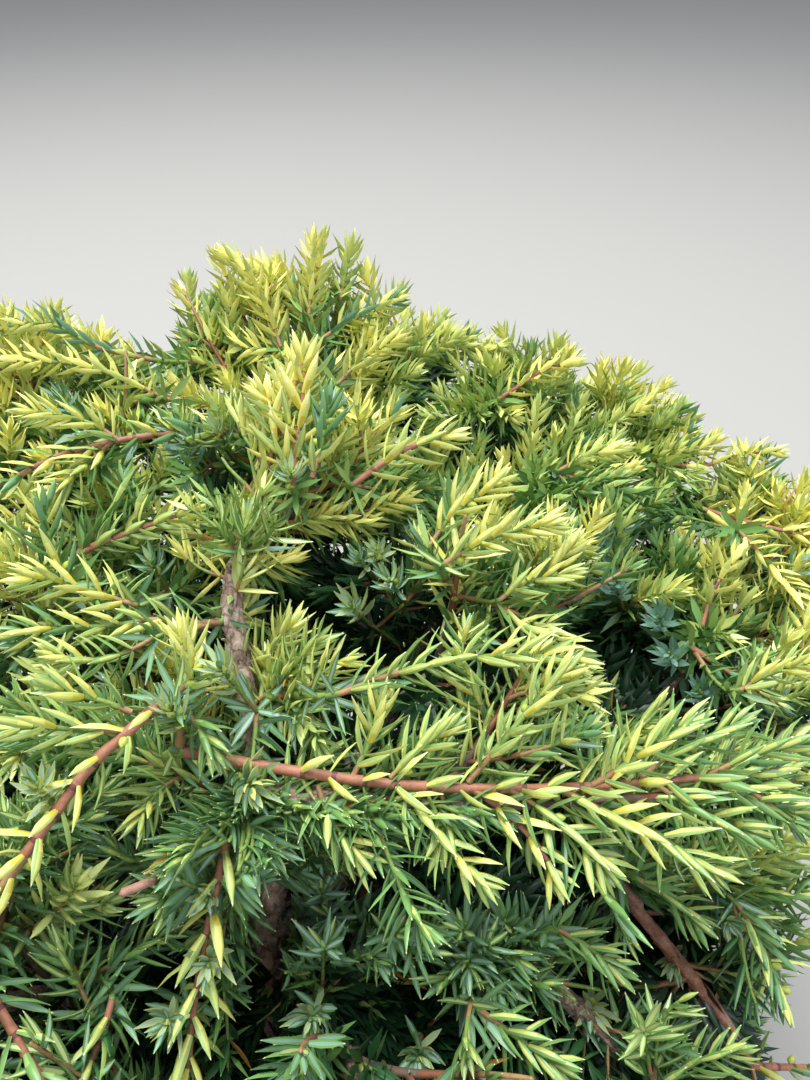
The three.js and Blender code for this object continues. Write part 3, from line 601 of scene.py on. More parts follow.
for pts, half, depth in WINDOWS:
    sight_line([(u_, v_, depth) for u_, v_ in pts], half, 5.0, 0)
for row in HEROES:
    d_ = np.mean([q[2] for q in row[0]])
    sight_line(row[0], 810 * 1.5 / d_, 2.0, 1)
    sight_line(row[0], 810 * (7.0 if d_ < 235 else 4.0) / d_, 8.0, 1)
SIGHT = np.array(SIGHT, float)
SIGHT_BARK = SIGHT[SIGHT[:, 8] == 0]


def in_window(p, slack=0.0, own=False):
    """Whether points lie in front of something that is to be seen."""
    u, v, d = (np.asarray(x)[..., None] for x in seen(p))
    a, b, c, e, f, g, half, closer, _ = (SIGHT_BARK if own else SIGHT).T
    t = np.clip(((u - a) * (e - a) + (v - b) * (f - b)) / ((e - a) ** 2 + (f - b) ** 2), 0, 1)
    r = np.hypot(u - (a + t * (e - a)), v - (b + t * (f - b)))
    return ((r < half + slack) & (d < c + t * (g - c) - closer)).any(-1)


# ---------------------------------------------------------------- wood
class Wood:
    """Every point that a new shoot may start from."""

    def __init__(self):
        self.p = np.zeros((260000, 3))
        self.t = np.zeros((260000, 3))
        self.r = np.zeros(260000)
        self.order = np.zeros(260000, np.int16)
        self.mass = np.zeros(260000, np.int16)
        self.path = np.zeros(260000, np.int32)
        self.cost = np.zeros(260000)
        self.n = 0

    def add(self, p, t, r, order, mass, path, cost=0.0):
        k = len(p)
        s = slice(self.n, self.n + k)
        self.p[s], self.t[s], self.r[s] = p, t, r
        self.order[s], self.mass[s], self.path[s], self.cost[s] = order, mass, path, cost
        self.n += k


wood = Wood()
paths = []        # every twig: points, radii, order, mass, kind, what grows on it

trunk_line = np.array([on_trunk(z) for z in np.linspace(150, 224, 30)])
wood.add(trunk_line, tangents(trunk_line), 4.8, 0, -1, -1, 30.0)
bough_lines = {}
for name, (start, radii, via, into) in BOUGHS.items():
    line = smooth_curve([on_trunk(start), *via, MASSES[into][0]])
    entry = len(line) - 1
    for i, p in enumerate(line):
        if i > 20:
            loc, nor, _, dist = bvh[into].find_nearest(tuple(p))
            if (Vector(tuple(p)) - loc).dot(nor) < 0 and dist > 1.0:
                entry = i
                break
    radius = np.linspace(radii[0], radii[1], len(line))
    bough_lines[name] = (line, radius, entry)
    keep = line[30:]
    wood.add(keep, tangents(line)[30:], radius[30:], 1, MASS_NAMES.index(into), -1, 4.0)


def bezier(p0, d0, p3, d3, lead=0.36, n=None):
    length = np.linalg.norm(p3 - p0)
    p1, p2 = p0 + unit(d0) * length * lead, p3 - unit(d3) * length * lead
    n = n or max(6, int(length / 2.0))
    w = np.linspace(0, 1, n)[:, None]
    p = (1 - w) ** 3 * p0 + 3 * (1 - w) ** 2 * w * p1 + 3 * (1 - w) * w**2 * p2 + w**3 * p3
    return resample(p, n)


def find_start(target, least=12, most=80, orders=(0, 1, 2, 3), own=None, aim=None):
    """The best places on the wood for a shoot that ends at the target, pointing along aim."""
    n = wood.n
    v = target - wood.p[:n]
    d = np.linalg.norm(v, axis=1)
    c = np.einsum("ij,ij->i", v, wood.t[:n]) / np.maximum(d, 1e-6)
    cost = d * (1 + 1.3 * (1 - c) ** 1.5) + wood.cost[:n]
    cost += np.where(d < least, (least - d) * 6, 0) + np.where(d > most, (d - most) * 1.5, 0)
    cost += np.where(c > 0.985, 6, 0)
    if aim is not None:
        cost *= 1 + 0.9 * (1 - (v @ aim) / np.maximum(d, 1e-6))
    ok = np.isin(wood.order[:n], orders)
    if own is not None:
        cost += np.where((wood.mass[:n] == own) | (wood.mass[:n] < 0), 0, 14)
    cost = np.where(ok, cost, 1e9)
    picks = []
    for i in np.argsort(cost)[:400]:
        if all(np.linalg.norm(wood.p[i] - wood.p[j]) > 6 for j in picks):
            picks.append(i)
            if len(picks) == 4:
                break
    return picks


def grow(target, order, tip_dir, radii, mass, kind, orders, least=12, most=80, wobble=0.05, tries=4,
         needled=(0.1, 1.0), inode=2.8, check=True, cost=0.0, tone=None, hero=False, arch=0.0):
    aim = unit(tip_dir) if np.linalg.norm(tip_dir) > 0.5 else None
    for i in find_start(target, least, most, orders, mass, aim)[:tries]:
        p0, t0 = wood.p[i], wood.t[i]
        out = unit(target - p0)
        length = np.linalg.norm(target - p0)
        d0 = unit(0.5 * t0 + 0.8 * out + arch * UP)
        d3 = unit(0.45 * out + tip_dir) if aim is not None else unit(out + tip_dir)
        p = bezier(p0, d0, target, d3)
        if wobble and len(p) > 5:
            a = rng.normal(0, wobble * length * 0.35, 3)
            w = np.sin(np.linspace(0, math.pi, len(p)))[:, None] ** 2
            w2 = np.sin(np.linspace(0, 2 * math.pi, len(p)))[:, None]
            p = p + a * w * 0.5 + rng.normal(0, wobble * length * 0.12, 3) * w2
        if check:
            if np.mean(field(depth_in, p) < -3) > 0.25:
                continue
            if np.any(in_window(p[len(p) // 4:], 5)):
                continue
        r = np.linspace(min(radii[0], wood.r[i]), radii[1], len(p))
        idx = len(paths)
        paths.append(dict(p=p, r=r, order=order, mass=mass, kind=kind, needled=needled, inode=inode,
                          parent=int(wood.path[i]), tone=tone, hero=hero))
        t = tangents(p)
        last = max(3, int(len(p) * (0.85 if order < 3 else 0.7)))
        wood.add(p[1:last], t[1:last], r[1:last], order, mass, idx, cost)
        return idx
    return None


# The limbs inside each mass, to its middle and its furthest tips.
for name, (centre, tips) in MASSES.items():
    mi = MASS_NAMES.index(name)
    centre = np.array(centre, float)
    bough = [b for b, v in BOUGHS.items() if v[3] == name]
    if bough:
        line, radius, entry = bough_lines[bough[0]]
        paths.append(dict(p=line[entry - 2:][::4], r=np.linspace(radius[entry - 2], 1.5, len(line[entry - 2:][::4])), order=1, mass=mi, kind="limb",
                          needled=(2, 2), inode=6, parent=-1, tone=None, hero=False, barked=True))
        t = tangents(line)[entry:]
        wood.add(line[entry:], t, np.linspace(radius[entry], 1.5, len(line) - entry), 1, mi, len(paths) - 1, 0.0)
    else:
        grow(centre, 1, np.zeros(3), (1.9, 1.3), mi, "limb", (0, 1), least=24, most=160, wobble=0.03,
             needled=(2, 2), check=False)
    for tip in tips:
        tip = np.array(tip, float)
        if np.mean(in_window(centre + (tip - centre) * np.linspace(0.3, 1, 12)[:, None], 4)) > 0.3:
            continue
        grow(tip, 2, np.array([0, 0, 0.1]), (1.25, 0.5), mi, "leader", (1,), least=20, most=140,
             needled=(0.10, 1.0), inode=4.2, check=False)

# ---------------------------------------------------------------- where shoots end
# Points spread over the crown's outer surface.
cand_p, cand_n = [], []
for name in MASS_NAMES:
    co, tri = mass_mesh[name]
    a, b, c = co[tri[:, 0]], co[tri[:, 1]], co[tri[:, 2]]
    nor = np.cross(b - a, c - a)
    area = np.linalg.norm(nor, axis=1) / 2
    k = int(area.sum() / 12)
    pick = rng.choice(len(tri), k, p=area / area.sum())
    r1, r2 = np.sqrt(rng.random(k)), rng.random(k)
    p = a[pick] * (1 - r1)[:, None] + b[pick] * (r1 * (1 - r2))[:, None] + c[pick] * (r1 * r2)[:, None]
    cand_p.append(p)
    cand_n.append(unit(nor[pick]))
cand_p, cand_n = np.concatenate(cand_p), np.concatenate(cand_n)
outer = (field(depth_in, cand_p + cand_n * 6) < -1.5) & (field(depth_in, cand_p) < 6)
cand_p, cand_n = cand_p[outer], cand_n[outer]
print("surface candidates", len(cand_p), "wood", wood.n, "paths", len(paths))


class Spread:
    """Keeps points a given distance apart."""

    def __init__(self, cell):
        self.cell, self.bins = cell, {}

    def near(self, p, r):
        k = np.floor(p / self.cell).astype(int)
        m = int(math.ceil(r / self.cell))
        for i in range(k[0] - m, k[0] + m + 1):
            for j in range(k[1] - m, k[1] + m + 1):
                for l in range(k[2] - m, k[2] + m + 1):
                    for q in self.bins.get((i, j, l), ()):
                        if (q[0] - p[0]) ** 2 + (q[1] - p[1]) ** 2 + (q[2] - p[2]) ** 2 < r * r:
                            return True
        return False

    def add(self, p):
        self.bins.setdefault(tuple(np.floor(p / self.cell).astype(int)), []).append(tuple(p))


taken = Spread(10.0)
for path in paths:
    if path["kind"] == "leader":
        taken.add(path["p"][-1])

middle = np.array([10.0, 20.0, 225.0])


# Where the crown is more golden or greener than its light alone would make it:
# place, reach and tone, from 0 for deep green to 1 for gold.
TONES = [
    ((-130, 30, 260), 60, 1.12), ((-60, 10, 262), 40, 1.16), ((0, 70, 290), 32, 0.95), ((0, 160, 300), 50, 1.12),
    ((-120, 150, 280), 60, 1.12), ((60, -10, 262), 60, 1.12), ((60, 50, 280), 40, 1.0), ((90, 170, 270), 60, 0.54),
    ((180, 120, 235), 45, 1.18), ((110, 60, 240), 34, 0.35), ((130, 20, 225), 40, 0.55), ((0, -70, 215), 50, 0.34),
    ((70, -70, 205), 50, 0.36), ((-110, -60, 240), 45, 1.12), ((-60, -110, 215), 40, 0.50), ((0, -30, 230), 34, 0.30),
]
TONE_P = np.array([t[0] for t in TONES], float)
TONE_R = np.array([t[1] for t in TONES], float)
TONE_V = np.array([t[2] for t in TONES], float)


def tone_of(p):
    """How golden a spray at this place is: the TONES places give its own colour, and the shade field adds painted light
    and shade, more gold where light reaches and greener where foliage covers it.
    """
    w = np.exp(-np.sum((TONE_P - p) ** 2, axis=1) / (2 * (0.6 * TONE_R) ** 2))
    light = float(field(shade, p))
    base = 0.10 + 0.80 * light
    return (base * 0.35 + (w * TONE_V).sum() * (0.25 + 0.95 * light) / 1.05) / (0.35 + w.sum())


def tip_bias(p, n):
    """Shoots lie along the crown's surface and point away from its middle, a little up."""
    away = p - middle
    away[2] = 0
    away = unit(away)
    side = np.cross(UP, away) * rng.normal(0, 0.45)
    flat = away + side
    flat = flat - n * (flat @ n) * 0.75
    if np.linalg.norm(flat) < 0.3:
        flat = away
    return unit(flat) + 0.30 * n + np.array([0, 0, 0.16])


def plume(idx, longest, gap=7.5, up=0.22, kind="shoot", level=3):
    """Side shoots on both sides of a leader, shorter towards its tip."""
    path = paths[idx]
    p = path["p"]
    s = np.r_[0, np.cumsum(np.linalg.norm(np.diff(p, axis=0), axis=1))]
    total = s[-1]
    t = tangents(p)
    x = total * 0.2
    side = 1 if rng.random() < 0.5 else -1
    made = 0
    while x < total - 5:
        q = np.array([np.interp(x, s, p[:, k]) for k in range(3)])
        d = unit(np.array([np.interp(x, s, t[:, k]) for k in range(3)]))
        lateral = np.cross(UP, d)
        lateral = unit(lateral) if np.linalg.norm(lateral) > 0.2 else np.array([1.0, 0, 0])
        above = np.cross(d, lateral)
        roll = rng.normal(0.18, 0.32) if rng.random() < 0.8 else rng.normal(1.2, 0.25)
        out = lateral * side * math.cos(roll) + above * math.sin(roll)
        a = math.radians(rng.uniform(40, 55))
        length = longest * (1 - x / total) ** 0.55 * rng.uniform(0.75, 1.1) + 8
        ray = unit(math.cos(a) * d + math.sin(a) * out)
        end = q + ray * length + d * length * 0.12 + UP * up * length * 0.4
        ok = not taken.near(end, 7.0) and field(depth_in, end) > -7
        if ok:
            line = bezier(q, unit(ray + 0.2 * out), end, unit(ray + 0.35 * d + up * UP))
            if not np.any(in_window(line[len(line) // 4:], 4)) and np.mean(field(depth_in, line) < -5) < 0.3:
                r = np.linspace(0.6, 0.36, len(line))
                paths.append(dict(p=line, r=r, order=level, mass=path["mass"], kind=kind, needled=(0.06, 1.0), inode=2.8,
                                  parent=idx, tone=path["tone"], hero=False))
                k = max(3, int(len(line) * 0.75))
                wood.add(line[1:k], tangents(line)[1:k], r[1:k], level, path["mass"], len(paths) - 1, 0.0)
                taken.add(end)
                made += 1
        side = -side
        x += gap * 0.5 * rng.uniform(0.8, 1.25)
    return made


def sprig(q, d, out, length, mass, tone, level=4, radius=0.55, curve=0.5):
    """A short leafy shoot from a point on a limb, bending from its side towards the limb's own way."""
    end = q + unit(out + 0.55 * d) * length
    line = bezier(q, unit(out + 0.2 * d), end, unit(out * (1 - curve) + d * 0.6 + UP * 0.25))
    r = np.linspace(radius, 0.36, len(line))
    paths.append(dict(p=line, r=r, order=level, mass=mass, kind="shoot", needled=(0.06, 1.0), inode=2.9,
                      parent=-1, tone=tone, hero=False))
    k = max(3, int(len(line) * 0.7))
    wood.add(line[1:k], tangents(line)[1:k], r[1:k], level, mass, len(paths) - 1, 0.0)
    taken.add(end)


def clothe(line, mass, first, every=5.5, reach=(11, 19)):
    """Short shoots all round a limb, more on its upper side."""
    s = np.r_[0, np.cumsum(np.linalg.norm(np.diff(line, axis=0), axis=1))]
    t = tangents(line)
    x = s[-1] * first
    turn = rng.uniform(0, 2 * math.pi)
    while x < s[-1] - 2:
        q = np.array([np.interp(x, s, line[:, k]) for k in range(3)])
        d = unit(np.array([np.interp(x, s, t[:, k]) for k in range(3)]))
        side = np.cross(d, UP)
        side = unit(side) if np.linalg.norm(side) > 0.2 else np.array([1.0, 0, 0])
        out = side * math.cos(turn) + np.cross(side, d) * math.sin(turn) + 0.35 * UP
        out = unit(out - d * (out @ d))
        length = rng.uniform(*reach)
        end = q + unit(out + 0.55 * d) * length
        path = q + unit(out + 0.3 * d) * np.linspace(0.3, 1, 4)[:, None] * length
        if not taken.near(end, 5.5) and not np.any(in_window(path, 3)):
            sprig(q, d, out, length, mass, None)
        turn += 2.4
        x += every * rng.uniform(0.8, 1.2)


def hidden_stem(foot, way):
    """What carries a shoot that is seen: it reaches the shoot's foot from behind."""
    to_eye = unit(EYE - foot)
    best = None
    n = wood.n
    v = foot - wood.p[:n]
    d = np.linalg.norm(v, axis=1)
    cost = d * (1 + 0.8 * (1 - (v @ unit(way + 0.9 * to_eye)) / np.maximum(d, 1e-6))) + np.where(d < 12, (12 - d) * 5, 0)
    cost += np.maximum(0, (wood.p[:n] - foot) @ to_eye + 4) * 3
    picks = []
    for i in np.argsort(cost)[:600]:
        if all(np.linalg.norm(wood.p[i] - wood.p[j]) > 5 for j in picks):
            picks.append(i)
            if len(picks) == 7:
                break
    for i in picks:
        p0, t0 = wood.p[i], wood.t[i]
        line = bezier(p0, unit(0.4 * t0 + unit(foot - p0) - 0.3 * to_eye), foot, unit(way + 1.1 * to_eye))
        score = cost[i] + 60 * np.mean(in_window(line[:-3] if len(line) > 6 else line, 2))
        if best is None or score < best[0]:
            best = (score, line, i)
    return best[1], best[2]


# The reddish bough low on the right.
red = smooth_curve([at(*q) for q in ((606, 868, 209), (632, 904, 207), (676, 958, 205), (716, 1008, 204), (740, 1044, 202), (752, 1066, 200))])
red_stem, i = hidden_stem(red[0], tangents(red)[0])
red_line = np.concatenate([red_stem[:-1], red])
red_radius = np.interp(np.linspace(0, 1, len(red_line)), (0, 0.3, 0.8, 1), (1.6, 1.75, 1.7, 0.9))
wood.add(red_line, tangents(red_line), red_radius, 2, MASS_NAMES.index("mass_right_near"), -1, 3.0)
hero_places = [red]
for pts, tone_a, tone_b, r_a, r_b, inode, start, bark, long_ in HEROES:
    line = smooth_curve([at(*q) for q in pts])
    length = np.linalg.norm(np.diff(line, axis=0), axis=1).sum()
    line = resample(line, max(8, int(length / 1.2)))
    mi = int(mass_at(line[len(line) // 2]))
    joined = any(np.min(np.linalg.norm(q - line[0], axis=1)) < 5 for q in hero_places)
    if not joined:
        stem, i = hidden_stem(line[0], tangents(line)[0])
        r = np.linspace(max(min(wood.r[i], 1.5), r_a), r_a, len(stem))
        paths.append(dict(p=stem, r=r, order=3, mass=mi, kind="stem", needled=(0.2, 0.98), inode=2.8, parent=int(wood.path[i]),
                          tone=0.2 if tone_a < 0 else min(0.4, tone_a), hero=False))
        wood.add(stem[1:-1], tangents(stem)[1:-1], r[1:-1], 3, mi, len(paths) - 1, 0.0)
    paths.append(dict(p=line, r=np.linspace(r_a, r_b, len(line)), order=3, mass=mi, kind="shoot", needled=(start, 1.0), inode=inode,
                      parent=-1, tone=(tone_a, tone_b), hero=True, bark=bark, long=long_))
    paths[-1]["inode"] = inode * (0.92 if bark == "pink" else 0.76 if bark == "star" else 0.64)
    paths[-1]["wide"] = 1.16 if bark == "pink" else 0.9 if bark == "star" else 1.0
    hero_places.append(line)
    for q in line[::6]:
        taken.add(q)
for u_, v_, d_, tone_ in FILL:
    target = at(u_, v_, d_)
    away = unit((target - middle) * np.array([1, 1, 0.6]))
    grow(target, 4, 0.5 * away + np.array([0, 0, 0.35]) + rng.normal(0, 0.45, 3), (0.7, 0.38), int(mass_at(target)), "fill",
         (1, 2, 3), 14, 60, tries=1, check=False, tone=tone_, inode=2.4)
    taken.add(target)
for u_, v_, tone_ in BACKING:
    reach = np.arange(140.0, 420.0, 4.0)
    on_way = np.array([at(u_, v_, d_) for d_ in reach])
    within = np.flatnonzero(field(depth_in, on_way) > 2.5)
    if len(within):
        far = min(reach[within[-1]] - 6, reach[within[0]] + 60)
        if u_ > 600 and v_ > 850:
            far = max(far, 219.0)
        for shift in ((0, 0), (9, -7), (-8, 6)):
            target = at(u_ + shift[0], v_ + shift[1], far + rng.uniform(-5, 3))
            grow(target, 4, unit(target - middle) * 0.5 + np.array([0, 0, 0.35]) + rng.normal(0, 0.3, 3), (0.7, 0.38),
                 int(mass_at(target)), "fill", (1, 2, 3), 12, 50, tries=1, check=False, tone=tone_, inode=2.6)
            taken.add(target)
for name, (line, radius, entry) in bough_lines.items():
    clothe(line, MASS_NAMES.index(BOUGHS[name][3]), 0.42)
for path in [path for path in paths if path["kind"] == "limb"]:
    clothe(path["p"], path["mass"], 0.1)

counts = [0, 0, 0]
plumed = 0
for k in [k for k, path in enumerate(paths) if path["kind"] == "leader"]:
    plumed += plume(k, 26)
for level, gap in ((0, 34.0), (1, 19.0), (2, 9.6)):
    order = rng.permutation(len(cand_p))
    chosen = []
    for i in order:
        p, n = cand_p[i], cand_n[i]
        g = gap * (1.0 if n[2] > -0.2 else 1.35)
        q = p - n * 3.0
        if not taken.near(q, g):
            taken.add(q)
            chosen.append(i)
    far = np.linalg.norm((cand_p[chosen] - middle) * np.array([1, 1, 0.6]), axis=1)
    for i in np.array(chosen)[np.argsort(far)]:
        p, n = cand_p[i], cand_n[i]
        mi = int(mass_at(p - n * 5))
        target = p - n * rng.uniform(1.0, 6.0)
        radii, kind, orders, least, most, inode = (
            ((1.15, 0.5), "leader", (1, 2), 26, 100, 3.6),
            ((0.85, 0.42), "shoot", (1, 2), 20, 60, 3.0),
            ((0.62, 0.36), "shoot", (1, 2, 3), 14, 46, 2.7),
        )[level]
        made = grow(target, level + 2 if level < 2 else 4, tip_bias(p.copy(), n), radii, mi, kind, orders, least, most,
                    needled=(0.12, 1.0) if level == 0 else (0.08, 1.0), inode=inode, arch=0.45 if n[2] > 0.2 else 0.1)
        if made is not None:
            counts[level] += 1
            if level == 0:
                plumed += plume(made, 24)
print("shoots", counts, "on leaders", plumed, "wood", wood.n)

# Inner shoots, in the shade, that close the gaps between the outer ones.
inside = np.argwhere((depth_in > 8) & (depth_in < 24))
pick = inside[rng.permutation(len(inside))]
inner = Spread(12.0)
made_inner = 0
for q in pick[:20000]:
    p = LOW + (q + rng.random(3)) * VOX
    if not inner.near(p, 14.5):
        inner.add(p)
        away = unit(p - middle)
        if grow(p, 4, 0.3 * away + np.array([0, 0, 0.2]), (0.6, 0.36), int(mass_at(p)), "inner", (1, 2, 3), 14, 44,
                needled=(0.1, 1.0), inode=3.4, tries=2) is not None:
            made_inner += 1
print("inner", made_inner, "paths", len(paths))

# ---------------------------------------------------------------- needles
def template(stations, inner_ring, outer_ring, tip_bend=0.0):
    """A needle of unit length: a flat or hollow inner side and a keeled outer side.
    Rows are (along, across, thick, bend); the two sides share no points, so their edge is crisp."""
    rows, quads, tris, qrole, trole = [], [], [], [], []
    k, m = len(inner_ring), len(outer_ring)
    for t, w in stations:
        for x, y in inner_ring:
            rows.append((t, x * w, y * w, t * t))
        for x, y in outer_ring:
            rows.append((t, x * w, y * w, t * t))
    ring = k + m
    base_tip = len(rows)
    rows.append((1.0, 0, 0, 1.0))
    rows.append((1.0, 0, 0, 1.0))
    last = len(stations) - 1
    for s in range(last):
        a, b = s * ring, (s + 1) * ring
        zone = 0 if stations[s + 1][0] <= 0.4 and last > 2 else (1 if stations[s][0] < 0.6 else 2)
        for i in range(k - 1):
            quads.append((a + i, a + i + 1, b + i + 1, b + i))
            qrole.append(6 if k < 4 else 3 if i in (0, k - 2) else 4)
        for i in range(m - 1):
            quads.append((a + k + i, a + k + i + 1, b + k + i + 1, b + k + i))
            qrole.append(3 if m > 3 and i in (0, m - 2) else zone)
    a = last * ring
    for i in range(k - 1):
        tris.append((a + i, a + i + 1, base_tip))
        trole.append(5 if last > 2 else 6)
    for i in range(m - 1):
        tris.append((a + k + i, a + k + i + 1, base_tip + 1))
        trole.append(5 if last > 2 else 2)
    return (np.array(rows), np.array(quads).reshape(-1, 4), np.array(tris).reshape(-1, 3), np.array(qrole, int), np.array(trole, int))


# The inner ring runs from the left edge to the right one and the outer ring back, so that all
# faces point out.
HIGH = template([(0.0, 0.62), (0.34, 1.0), (0.66, 0.86), (0.94, 0.2)],
                [(-1, 0), (-0.45, -0.14), (0.45, -0.14), (1, 0)], [(1, 0), (0.5, -0.62), (-0.5, -0.62), (-1, 0)])
MID = template([(0.0, 0.6), (0.48, 1.0)],
               [(-1, 0), (0, -0.12), (1, 0)], [(1, 0), (0, -0.75), (-1, 0)])
# The plainest needle: a long kite with a keel.
KITE = (np.array([(0, 0, 0, 0), (0.38, -1, 0, 0.15), (1, 0, 0, 1), (0.38, 1, 0, 0.15),
                  (0, 0, -0.1, 0), (0.38, 1, 0, 0.15), (1, 0, 0, 1), (0.38, -1, 0, 0.15), (0.36, 0, -0.7, 0.15)], float),
        np.array([(0, 1, 2, 3)]), np.array([(4, 5, 8), (4, 8, 7), (5, 6, 8), (8, 6, 7)]),
        np.array([6]), np.array([0, 0, 2, 1]))
LEVELS = [HIGH, MID, KITE]

store = {mi: [[] for _ in LEVELS] for mi in range(len(MASS_NAMES))}
NEEDLE = 10.2          # length of a full needle
WIDE = 0.92            # half its width


def detail_of(p):
    """0, 1 or 2: how finely needles here are made, from how large they show."""
    u, v, d = seen(p)
    framed = (u > -30) & (u < 840) & (v > 180) & (v < 1120)
    to_eye = unit(EYE - p)
    cover = np.maximum(field(depth_in, p + to_eye * 14), field(depth_in, p + to_eye * 26))
    clear = (cover < 9) & framed
    return np.where(clear & (d < 218), 0, np.where(clear & (d < 330), 1, 2))


def needle_kind(tone, k, n):
    """Kinds for n needles of a spray from its tone: 1 is gold, 0 the darkest green, which is partly painted shade."""
    x = np.clip(tone, 0, 1)
    scale = 5.2 * (1 - x)
    kinds = np.clip(np.round(scale + rng.normal(0, 0.42, n)), 0, 5).astype(int)
    return kinds


def leafy(path):
    p, kind = path["p"], path["kind"]
    seg = np.linalg.norm(np.diff(p, axis=0), axis=1)
    s = np.r_[0, np.cumsum(seg)]
    total = s[-1]
    a, b = path["needled"]
    if a >= 1:
        return
    first, inode = total * a, path["inode"]
    if kind == "shoot" and not path["hero"] and seen(p[[-1]])[2][0] < 215:
        inode = inode * 0.86
    hero, ends = path["hero"], b >= 1
    pos = []
    x = total * b - 0.6
    while x > first:
        left = total - x if ends else 99.0
        step = inode * (0.42 if left < 2.5 else 0.72 if left < 8 else 1.0)
        pos.append(x)
        x -= step * rng.uniform(0.85, 1.15)
    pos = np.array(pos[::-1])
    if len(pos) == 0:
        return
    q = np.stack([np.interp(pos, s, p[:, k]) for k in range(3)], 1)
    t, u, w = frames(q) if len(q) > 1 else (tangents(p)[-1:], *[x[-1:] for x in frames(p)[1:]])
    rad = np.interp(pos, s, path["r"])
    n = len(q)
    path["nodes"] = pos
    left = total - pos + (0 if ends else 99.0)
    tipness = np.exp(-left / 5.0)
    spread = np.radians(62 - 34 * tipness + rng.normal(0, 4, n))
    if kind == "leader" or hero:
        spread = np.radians(57 - 30 * tipness + rng.normal(0, 4, n))
    length = NEEDLE * path.get("long", 1.0) * (0.9 if hero and path.get("bark") != "star" else 1.0) * (1 - 0.52 * np.exp(-left / 3.0)) * rng.uniform(0.92, 1.06)
    drift = 0.16 if path.get("bark") == "star" else 0.07
    phase = rng.uniform(0, 2 * math.pi) + np.arange(n) * math.pi / 3 + np.cumsum(rng.normal(0, drift, n))
    ang = phase[:, None] + np.array([0, 1, 2]) * 2 * math.pi / 3 + rng.normal(0, 0.12, (n, 3))
    al = spread[:, None] + rng.normal(0, 0.10, (n, 3))
    radial = np.cos(ang)[..., None] * u[:, None] + np.sin(ang)[..., None] * w[:, None]
    tt = np.broadcast_to(t[:, None], radial.shape)
    d = np.cos(al)[..., None] * tt + np.sin(al)[..., None] * radial
    d = unit(d + np.array([0, 0, 0.07]))
    nad = tt - d * np.sum(tt * d, -1, keepdims=True)
    nad = unit(nad + np.cross(d, nad) * rng.normal(0, 0.22, (n, 3))[..., None])
    lat = np.cross(nad, d)
    base = q[:, None] + radial * rad[:, None, None] * 0.8
    ln = length[:, None] * rng.normal(1, 0.08, (n, 3))
    wd = WIDE * path.get("wide", 1.0) * (0.55 + 0.45 * ln / NEEDLE) * rng.normal(1, 0.06, (n, 3))
    bend = rng.normal(0.19 if hero else 0.11, 0.07, (n, 3))
    flat = lambda x: x.reshape(-1, 3)
    base, d, lat, nad = map(flat, (base, d, lat, nad))
    ln, wd, bend = ln.ravel(), wd.ravel(), bend.ravel()
    tips = base + d * ln[:, None]
    keep = ~in_window(base + d * (ln * 0.6)[:, None], 0, hero or kind == "stem") & ~in_window(tips, -3, hero or kind == "stem")
    if not hero and kind not in ("fill", "stem"):
        keep &= field(depth_in, tips) > -14
    exposure = field(shade, base)
    tone = path["tone"]
    if tone is None:
        tone = tone_of(q[len(q) * 2 // 3]) + path["jitter"]
        # Inner shoots are made darker green: painted shade.
        if kind == "inner":
            tone -= 0.3
    # Needles that point up are made more golden, and off the heroes, needles the shade field marks as covered are made
    # darker green: partly the plant's own colouring, partly painted light and shade.
    if hero:
        x = np.repeat(np.interp(pos / total, (0, 0.7), tone), 3) + 0.10 * d[:, 2]
    else:
        x = tone + 0.03 + 0.14 * np.repeat(tipness, 3) - 0.30 * np.clip(0.5 - exposure, 0, 0.5) + 0.12 * d[:, 2]
    x = x + np.where(seen(base)[2] > 250, 0.03, 0.0) + (np.where(seen(base)[2] < 185, np.where(seen(base)[0] > 640, -0.24, -0.03), 0.08) if hero and tone[0] > 0.4 else 0.0)
    kinds = needle_kind(x, None, len(x))
    # The best-lit golden needles get the brightest golds, kinds 10 and 11: painted light.
    share = 0.5 if not hero else 0.88 if tone[0] >= 0.9 else 0.6
    painted_light_gold = (kinds == 0) & (exposure > 0.45) & (rng.random(len(kinds)) < share)
    kinds[painted_light_gold] = 10
    if hero and tone[0] >= 0.9:
        kinds[painted_light_gold & (seen(base)[2] > 185)] = 11
    if hero and tone[0] < 0:
        kinds[:] = np.where(rng.random(len(kinds)) < (0.25 if tone[0] > -1.5 else 0.75), 8, 6)
    elif path["sea"]:
        kinds[(kinds > 2) & (exposure > 0.2)] = 6
    # Fill sprays of tone 0 get the darkest green to stand for the crown's dark hollows: painted shade.
    if kind == "fill" and path["tone"] is not None and path["tone"] <= 0:
        kinds[:] = np.where(rng.random(len(kinds)) < 0.7, 9, 5)
        wd = wd * 1.5
    if not hero:
        # Needles the shade field marks as most covered mostly get the darkest green: painted shade.
        kinds[(exposure < 0.16) & (kinds > 3) & (rng.random(len(kinds)) < 0.75)] = 9
        kinds[rng.random(len(kinds)) < (0.008 if kind == "inner" else 0.0015)] = 7
    lod = detail_of(base)
    if hero:
        lod = np.where(seen(base)[2] < 225, 0, 1)
    else:
        lod = np.where((lod == 0) & (seen(base)[2] > 196), 1, lod)
    if kind == "inner":
        wd = wd * np.where(lod == 2, 1.5, 1.0)
    deep_ = seen(base)[2]
    wd = wd * np.where(deep_ > 235, 1.18, np.where((deep_ < 212) & (not hero), 0.88, 1.0))
    arr = np.concatenate([base, d, lat, nad, ln[:, None], wd[:, None], bend[:, None], kinds[:, None]], 1)
    for L in range(3):
        sel = keep & (lod == L)
        if sel.any():
            store[path["mass"]][L].append(arr[sel])


for path in paths:
    path["jitter"] = rng.normal(0, 0.13)
    path["sea"] = rng.random() < 0.13
    leafy(path)


